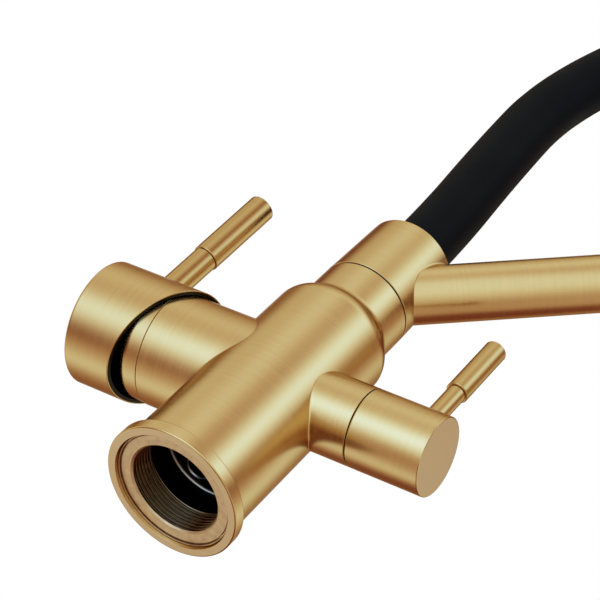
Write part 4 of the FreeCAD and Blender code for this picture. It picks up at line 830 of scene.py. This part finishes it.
# --- Filtered water handle ---
class TAP_OT_filter(bpy.types.Operator):
    """Turn the filtered water cap and its lever"""
    bl_idname = "tap.filter"
    bl_label = "Filtered water handle"

    def execute(self, context):
        size, height = context.scene.tap_handles, context.scene.tap_body.handle_height
        bore, start, radius = size.filter_cap_bore, size.filter_cap_start, size.filter_cap
        cap = turned("filter_cap_look", [
            (bore, start + size.filter_cap_depth), (bore, start), (radius, start, 0.5 * MM),
            (radius, size.filter_cap_end, 0.4 * MM), (0, size.filter_cap_end)],
            "brushed_gold", "filter_handle", "filter_cap", foot=(0, 0, height), side=DOWN, way=OUT_X)
        faced(cap, OUT_X)
        make_lever("filter", size, (size.filter_offset, 0, height), OUT_X, UP, "filter_handle")
        return {"FINISHED"}


# --- Collar, arm and dock ---
class TAP_OT_collar(bpy.types.Operator):
    """Turn the collar and the dark ring under it"""
    bl_idname = "tap.collar"
    bl_label = "Collar"

    def execute(self, context):
        size, body = context.scene.tap_spout, context.scene.tap_body
        low, high, edge = body.neck_top, body.neck_top + size.seam, body.neck_radius - size.glide_inset
        turned("glide_ring_look", [
            (size.glide_bore, low), (edge, low), (edge, high), (size.glide_bore, high)],
            "black_plastic", "tap", "glide_ring", slot="black_plastic")
        turned("collar_look", [
            (size.collar_hole, size.collar_foot), (size.collar_low_radius, size.collar_foot, BROKEN),
            (size.collar_high_radius, size.collar_top, 0.5 * MM),
            (size.collar_bore, size.collar_top, BROKEN), (size.collar_bore, size.socket_floor)],
            "brushed_gold", "spout", "spout_collar")
        return {"FINISHED"}


class TAP_OT_arm(bpy.types.Operator):
    """Bend the arm and turn its outlet"""
    bl_idname = "tap.arm"
    bl_label = "Arm and outlet"

    def execute(self, context):
        size = context.scene.tap_spout
        slope, radius, bend = size.arm_slope, size.arm_radius, size.bend_radius
        way = np.array([math.cos(slope), 0, math.sin(slope)])
        side = np.array([-math.sin(slope), 0, math.cos(slope)])
        origin = np.array([0, 0, size.arm_height])
        collar = (size.collar_low_radius + size.collar_high_radius) / 2
        begin, fillet = tube_meets_column(origin, way, side, radius, collar, size.arm_fillet)
        corner = size.arm_reach / math.cos(slope)
        reach = bend * math.tan((math.pi / 2 + slope) / 2)
        straight = np.array([(radius, corner - reach - before) for before in (2 * MM, MM, 0)])
        grids = [fillet, tube_from(origin, way, side, radius, begin, straight)]
        middle = origin + way * (corner - reach) - side * bend
        top = size.arm_height + size.arm_reach * math.tan(slope) - reach
        grids.append(self.bent_tube(size, middle, way, side, corner, top))
        piece("arm_look", grids, "brushed_gold", "spout", "spout_arm")

        low, end, bore = size.arm_end - size.flange_height, size.arm_end, size.arm_radius - size.arm_wall
        turned("outlet_look", [
            (size.outlet_bore, end + size.outlet_depth), (size.outlet_bore, low, BROKEN),
            (size.flange_radius, low, SOFT), (size.flange_radius, end, SHARP), (bore, end)],
            "brushed_gold", "spout", "filtered_aerator_ring", foot=(size.arm_reach, 0, 0),
            around=SMALL_ROUND)
        return {"FINISHED"}

    def bent_tube(self, size, middle, way, side, begin, top):
        """Circles round a quarter turn and more about a middle, then straight down to the arm's end,
        where the last circle closes in to the bore."""
        sweep = np.linspace(0, math.pi / 2 + size.arm_slope, BEND_ROWS)[:, None]
        outward = np.cos(sweep) * side + np.sin(sweep) * way
        drop = np.append(np.linspace(top, size.arm_end, 6)[1:], size.arm_end)
        spine = np.concatenate([middle + size.bend_radius * outward,
                                np.stack([0 * drop + size.arm_reach, 0 * drop, drop], axis=1)])
        outward = np.concatenate([outward, np.tile(OUT_X, (len(drop), 1))])
        radii = np.full((len(spine), 1, 1), size.arm_radius)
        radii[-1] -= size.arm_wall
        angles = circle(ROUND)
        points = spine[:, None] + radii * (np.cos(angles)[:, None] * outward[:, None]
                                           - np.sin(angles)[:, None] * np.array([0, 1.0, 0]))
        return {"points": points, "wrap": True,
                "grain": round_axis(size.arm_radius, angles, along(spine)[:, None] + begin)}


def hooked(line, half_mouth):
    """A closed line carried round from one side of a mouth to the other, its two ends closed."""
    hook = lathe(line, SMALL_ROUND, half_mouth, TURN - 2 * half_mouth)
    ends = []
    for place, order in ((0, slice(None, None, -1)), (-1, slice(None))):
        loop = hook["points"][:-1, place][order]
        ends.append(ribbon(np.repeat(loop.mean(axis=0)[None], len(loop), axis=0), loop, 2))
    return [hook] + ends


class TAP_OT_dock(bpy.types.Operator):
    """Make the dock: a clamp round the arm, a bridge, a hook and its liner"""
    bl_idname = "tap.dock"
    bl_label = "Dock"

    def execute(self, context):
        size = context.scene.tap_spout
        low, high, edge = size.dock_base, size.dock_base + size.dock_height, size.dock_edge
        arm, dock = (size.arm_reach, 0, 0), (size.dock_reach, 0, 0)
        clamp = band(size.arm_radius + FIT, size.dock_clamp, low, high, HAIR, edge)
        bore, outer = size.dock_liner + size.dock_liner_wall, size.dock_ring
        hook = band(bore, outer, low, high, BROKEN, edge)
        half = math.asin(size.dock_mouth / 2 / outer)
        grids = [placed(lathe(clamp), arm)] + [placed(grid, dock) for grid in hooked(hook, half)]
        section, sink = pad(size.dock_bridge / 2, low, high, edge), size.dock_overlap
        ends = np.array([size.arm_reach + size.dock_clamp - sink,
                         size.dock_reach - size.dock_ring + sink])
        points = np.stack(np.broadcast_arrays(ends[:, None], section[:, 0], section[:, 1]), axis=2)
        grids.append({"points": points, "grain": points.copy(), "wrap": False})
        piece("dock_look", grids, "brushed_gold", "spout", "dock_bracket")

        inner, fit, lip = size.dock_liner, bore - FIT, high + size.dock_lip
        middle, outer = (low + high) / 2, bore + size.dock_lip_width
        liner = rounded([
            (inner, middle), (inner, low, CRISP), (fit, low), (fit, high), (outer, high),
            (outer, lip, BROKEN), (inner, lip, BROKEN), (inner, middle)])
        half = math.asin(size.dock_mouth / 2 / bore)
        piece("dock_liner_look", [placed(grid, dock) for grid in hooked(liner, half)],
              "black_plastic", "spout", "dock_liner", slot="black_plastic")
        return {"FINISHED"}


# --- Hose ---
def hose_route(hose, spout):
    """Points of the hose's route in the xz plane, from the collar's socket over to the head."""
    inner = [(0, 172), (-4.2, 222), (-6.5, 276), (15.5, 343), (72, 384), (142, 384), (198.5, 343),
             (220.5, 276)]
    points = [(x * MM, 0.0, z * MM) for x, z in inner]
    return [(0.0, 0.0, hose.hose_start)] + points + [(spout.dock_reach, 0.0, hose.hose_end)]


class TAP_OT_hose(bpy.types.Operator):
    """Lay the sleeved hose and turn the ferrule at its end"""
    bl_idname = "tap.hose"
    bl_label = "Hose"

    def execute(self, context):
        hose, spout = context.scene.tap_hose, context.scene.tap_spout
        curve = bpy.data.curves.new("hose_look", "CURVE")
        curve.dimensions = "3D"
        curve.bevel_depth = hose.hose_radius
        curve.bevel_resolution = 14
        curve.resolution_u = 24
        curve.render_resolution_u = 24
        spline = curve.splines.new("NURBS")
        route = hose_route(hose, spout)
        spline.points.add(len(route) - 1)
        for point, spot in zip(spline.points, route):
            point.co = (*spot, 1.0)
        spline.order_u = 3
        spline.use_endpoint_u = True
        curve.materials.append(MATERIALS["black_silicone"])
        thing = bpy.data.objects.new("hose_look", curve)
        context.scene.collection.objects.link(thing)
        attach(thing, "spout")
        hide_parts("flexible_hose")

        low, high, inside = hose.ferrule_base, hose.ferrule_top, hose.hose_radius + FIT
        outside = inside + hose.ferrule_wall
        turned("ferrule_look", [
            (hose.hose_bore, low), (outside, low, SOFT), (outside, high, 0.4 * MM),
            (inside, high, CRISP), (inside, high - 3 * MM)],
            "brushed_gold", "spout", "hose_ferrule", foot=(spout.dock_reach, 0, 0))
        return {"FINISHED"}


# --- Spray head ---
class TAP_OT_head(bpy.types.Operator):
    """Turn the spray head's nut, shell and face, and make its nozzles and button"""
    bl_idname = "tap.head"
    bl_label = "Spray head"

    def execute(self, context):
        hose, reach = context.scene.tap_hose, context.scene.tap_spout.dock_reach
        foot = (reach, 0, 0)
        turned("swivel_nut_look", [
            (hose.nut_bore, hose.nut_base), (hose.head_neck, hose.nut_base, CRISP),
            (hose.head_neck, hose.nut_top, SOFT), (hose.hose_bore, hose.nut_top)],
            "brushed_gold", "spray_head", "head_swivel_nut", foot=foot)
        self.make_shell(hose, foot)
        face, rim = hose.head_bottom + hose.face_recess, hose.head_bore - FIT
        turned("spray_face_look", [
            (hose.aerator_radius, face + 2 * MM), (hose.aerator_radius, face, CRISP),
            (rim, face, CRISP), (rim, face + 2 * MM)],
            "black_plastic", "spray_head", "head_face", foot=foot, slot="black_plastic")
        radius, tip, floor = hose.nozzle_radius, face - hose.nozzle_height, face - 0.2 * MM
        nozzle = rounded([(radius, face), (0.75 * radius, tip, CRISP), (0.3 * radius, tip, SHARP),
                          (0.3 * radius, floor), (0, floor)])[::-1]
        nozzles = [placed(lathe(nozzle, NOZZLE_ROUND), (reach + hose.nozzle_ring * math.cos(angle),
                                                        hose.nozzle_ring * math.sin(angle), 0))
                   for angle in circle(NOZZLES)]
        piece("nozzles_look", nozzles, "black_rubber", "spray_head", "head_nozzles", slot="black_rubber")
        self.make_button(hose, reach)
        return {"FINISHED"}

    def make_shell(self, hose, foot):
        """The shell, with a window where the button sits."""
        low, outer = hose.button_base - hose.button_slack, hose.head_radius
        high = hose.button_base + hose.button_height + hose.button_slack
        line = rounded([
            (hose.head_bore, hose.head_bottom + 3 * MM), (hose.head_bore, hose.head_bottom, CRISP),
            (outer, hose.head_bottom, SOFT), (outer, low), (outer, high),
            (outer, hose.head_shoulder, hose.head_round),
            (hose.head_neck, hose.head_waist, hose.head_round),
            (hose.head_neck, hose.nut_base, 0.15 * MM), (hose.stalk_bore, hose.nut_base)])
        half = math.asin((hose.button_width / 2 + hose.button_slack) / outer)
        angles = np.concatenate([np.linspace(-half, half, WINDOW_ROUND),
                                 np.linspace(half, TURN - half, SHELL_ROUND)[1:-1]])
        keep = np.ones((len(line) - 1, len(angles)), bool)
        middle = (line[1:] + line[:-1]) / 2
        window = (middle[:, 1] > low) & (middle[:, 1] < high) & (middle[:, 0] > outer - 0.01 * MM)
        keep[np.ix_(window, np.arange(WINDOW_ROUND - 1))] = False
        shell = {"points": round_axis(line[:, :1], angles, line[:, 1:2]),
                 "grain": round_axis(outer, angles, along(line)[:, None]), "wrap": True, "keep": keep}
        piece("head_shell_look", [placed(shell, foot)], "brushed_gold", "spray_head", "head_shell")

    def make_button(self, hose, reach):
        """A pad with a crowned outer face: its edge is a rounded rectangle that shrinks as it rises."""
        tall = hose.button_height / 2
        outline = pad(hose.button_width / 2, -tall, tall, hose.button_corner)
        face = reach + hose.head_radius + hose.button_proud
        rows = np.array([(1.0, -hose.button_depth), (1.0, -0.6 * MM), (0.97, -0.25 * MM),
                         (0.90, -0.06 * MM), (0.5, 0.0), (0.0, 0.0)])
        scale, depth = rows[:, :1], rows[:, 1:]
        points = np.stack(np.broadcast_arrays(face + depth, outline[:, 0] * scale,
                                              outline[:, 1] * scale + hose.button_base + tall), axis=2)
        piece("button_look", [{"points": points, "grain": points.copy(), "wrap": False}],
              "black_plastic", "spray_button", "head_button", slot="black_plastic")


# --- Stage ---
class TAP_OT_stage(bpy.types.Operator):
    """Lay the pale floor, light the studio and stand the camera"""
    bl_idname = "tap.stage"
    bl_label = "Stage"

    def execute(self, context):
        stage = context.scene.tap_stage
        self.make_camera(context, stage)
        self.make_floor(context, stage)
        self.make_world(context)
        context.scene.view_settings.view_transform = "Standard"
        return {"FINISHED"}

    def make_camera(self, context, stage):
        camera = bpy.data.cameras.new("camera")
        camera.lens = stage.focal_length
        camera.sensor_width = stage.sensor
        camera.clip_start = 0.01
        thing = bpy.data.objects.new("camera", camera)
        rows = list(zip(CAMERA_RIGHT, CAMERA_UP, CAMERA_BACK, CAMERA_SPOT))
        thing.matrix_world = Matrix(rows + [(0, 0, 0, 1)])
        context.scene.collection.objects.link(thing)
        context.scene.camera = thing

    def make_floor(self, context, stage):
        """A pale floor that is seen from above only, because the camera looks up from below it."""
        mesh = bpy.data.meshes.new("floor")
        half, level = stage.floor_half, stage.floor_level
        mesh.from_pydata([(-half, -half, level), (half, -half, level), (half, half, level),
                          (-half, half, level)], [], [(0, 1, 2, 3)])
        material, tree, principled = shader("floor", stage.floor, 0.0, 0.8)
        clear = wired(tree, "BsdfTransparent").outputs["BSDF"]
        below = wired(tree, "NewGeometry").outputs["Backfacing"]
        mix = wired(tree, "MixShader", (), below, principled.outputs["BSDF"], clear)
        tree.links.new(mix.outputs["Shader"], tree.nodes["Material Output"].inputs["Surface"])
        mesh.materials.append(material)
        thing = bpy.data.objects.new("floor", mesh)
        thing.visible_glossy = False
        thing.visible_shadow = False
        context.scene.collection.objects.link(thing)

    def make_world(self, context):
        """Plain white light of strength 1, in which the metal mirrors a soft studio: white behind the
        tap and elsewhere a base level with broad bright and dark fields. A field's share falls off as
        the exponential of its sharpness times the cosine of the angle to its middle less 1. The world
        is met by the rays that leave a surface, not picked as a lamp, so that each kind of ray meets
        its own light."""
        world = bpy.data.worlds.new("studio")
        context.scene.world = world
        world.use_nodes = True
        tree = world.node_tree
        where = wired(tree, "TexCoord").outputs["Generated"]

        def cosine_to(way):
            return wired(tree, "VectorMath", {"operation": "DOT_PRODUCT"}, where, way).outputs["Value"]

        level = STUDIO_LEVEL
        for from_camera, around, sharpness, strength in STUDIO_FIELDS:
            aside, about = math.sin(math.radians(from_camera)), math.radians(around)
            way = (math.cos(math.radians(from_camera)) * Vector(CAMERA_BACK)
                   + aside * math.cos(about) * Vector(CAMERA_RIGHT)
                   + aside * math.sin(about) * Vector(CAMERA_UP))
            field = math_of(tree, "MULTIPLY_ADD", cosine_to(way), sharpness, -sharpness)
            level = math_of(tree, "MULTIPLY_ADD", math_of(tree, "EXPONENT", field), strength, level)
        level = math_of(tree, "MAXIMUM", level, STUDIO_DARKEST)
        blue = math_of(tree, "MULTIPLY_ADD", math_of(tree, "POWER", level, 2.0), *BLUE_LIGHT)
        root = math_of(tree, "POWER", level, 0.5)
        tint = wired(tree, "CombineColor", Red=math_of(tree, "MULTIPLY", root, RED_LIGHT), Green=level,
                     Blue=math_of(tree, "MULTIPLY", blue, level))
        behind = ramped(tree, cosine_to(tuple(-part for part in CAMERA_BACK)), 1.0, 0.0, *WHITE_BEHIND)
        glossy = wired(tree, "LightPath").outputs["Is Glossy Ray"]
        light = wired(tree, "Mix", {"data_type": "RGBA"}, A=(1, 1, 1, 1), B=tint.outputs["Color"],
                      Factor=math_of(tree, "MULTIPLY", glossy, behind))
        tree.links.new(light.outputs["Result"], tree.nodes["Background"].inputs["Color"])
        world.cycles.sampling_method = "NONE"


# --- Panel and start ---
PIECES = (TAP_OT_stage, TAP_OT_finishes, TAP_OT_hose, TAP_OT_inner_pieces, TAP_OT_base, TAP_OT_body,
          TAP_OT_mixer, TAP_OT_filter, TAP_OT_collar, TAP_OT_arm, TAP_OT_dock, TAP_OT_head)
GROUPS = {"tap_body": TapBodySizes, "tap_handles": TapHandleSizes, "tap_spout": TapSpoutSizes,
          "tap_hose": TapHoseSizes, "tap_finishes": TapFinishes, "tap_stage": TapStage}


class TAP_PT_sidebar(bpy.types.Panel):
    """Lists the tap's pieces and sizes"""
    bl_idname = "TAP_PT_sidebar"
    bl_label = "Filtered water tap"
    bl_space_type = "VIEW_3D"
    bl_region_type = "UI"
    bl_category = "Tap"

    def draw(self, context):
        for maker in PIECES:
            self.layout.operator(maker.bl_idname)
        for group, kind in GROUPS.items():
            column = self.layout.column()
            for size in kind.__annotations__:
                column.prop(getattr(context.scene, group), size)


def register():
    for kind in (*GROUPS.values(), *PIECES, TAP_PT_sidebar):
        bpy.utils.register_class(kind)
    for group, kind in GROUPS.items():
        setattr(bpy.types.Scene, group, PointerProperty(type=kind))


def unregister():
    for group in GROUPS:
        delattr(bpy.types.Scene, group)
    for kind in reversed((*GROUPS.values(), *PIECES, TAP_PT_sidebar)):
        bpy.utils.unregister_class(kind)


def main():
    register()
    for maker in PIECES:
        group, name = maker.bl_idname.split(".")
        getattr(getattr(bpy.ops, group), name)()


if __name__ == "__main__":
    main()
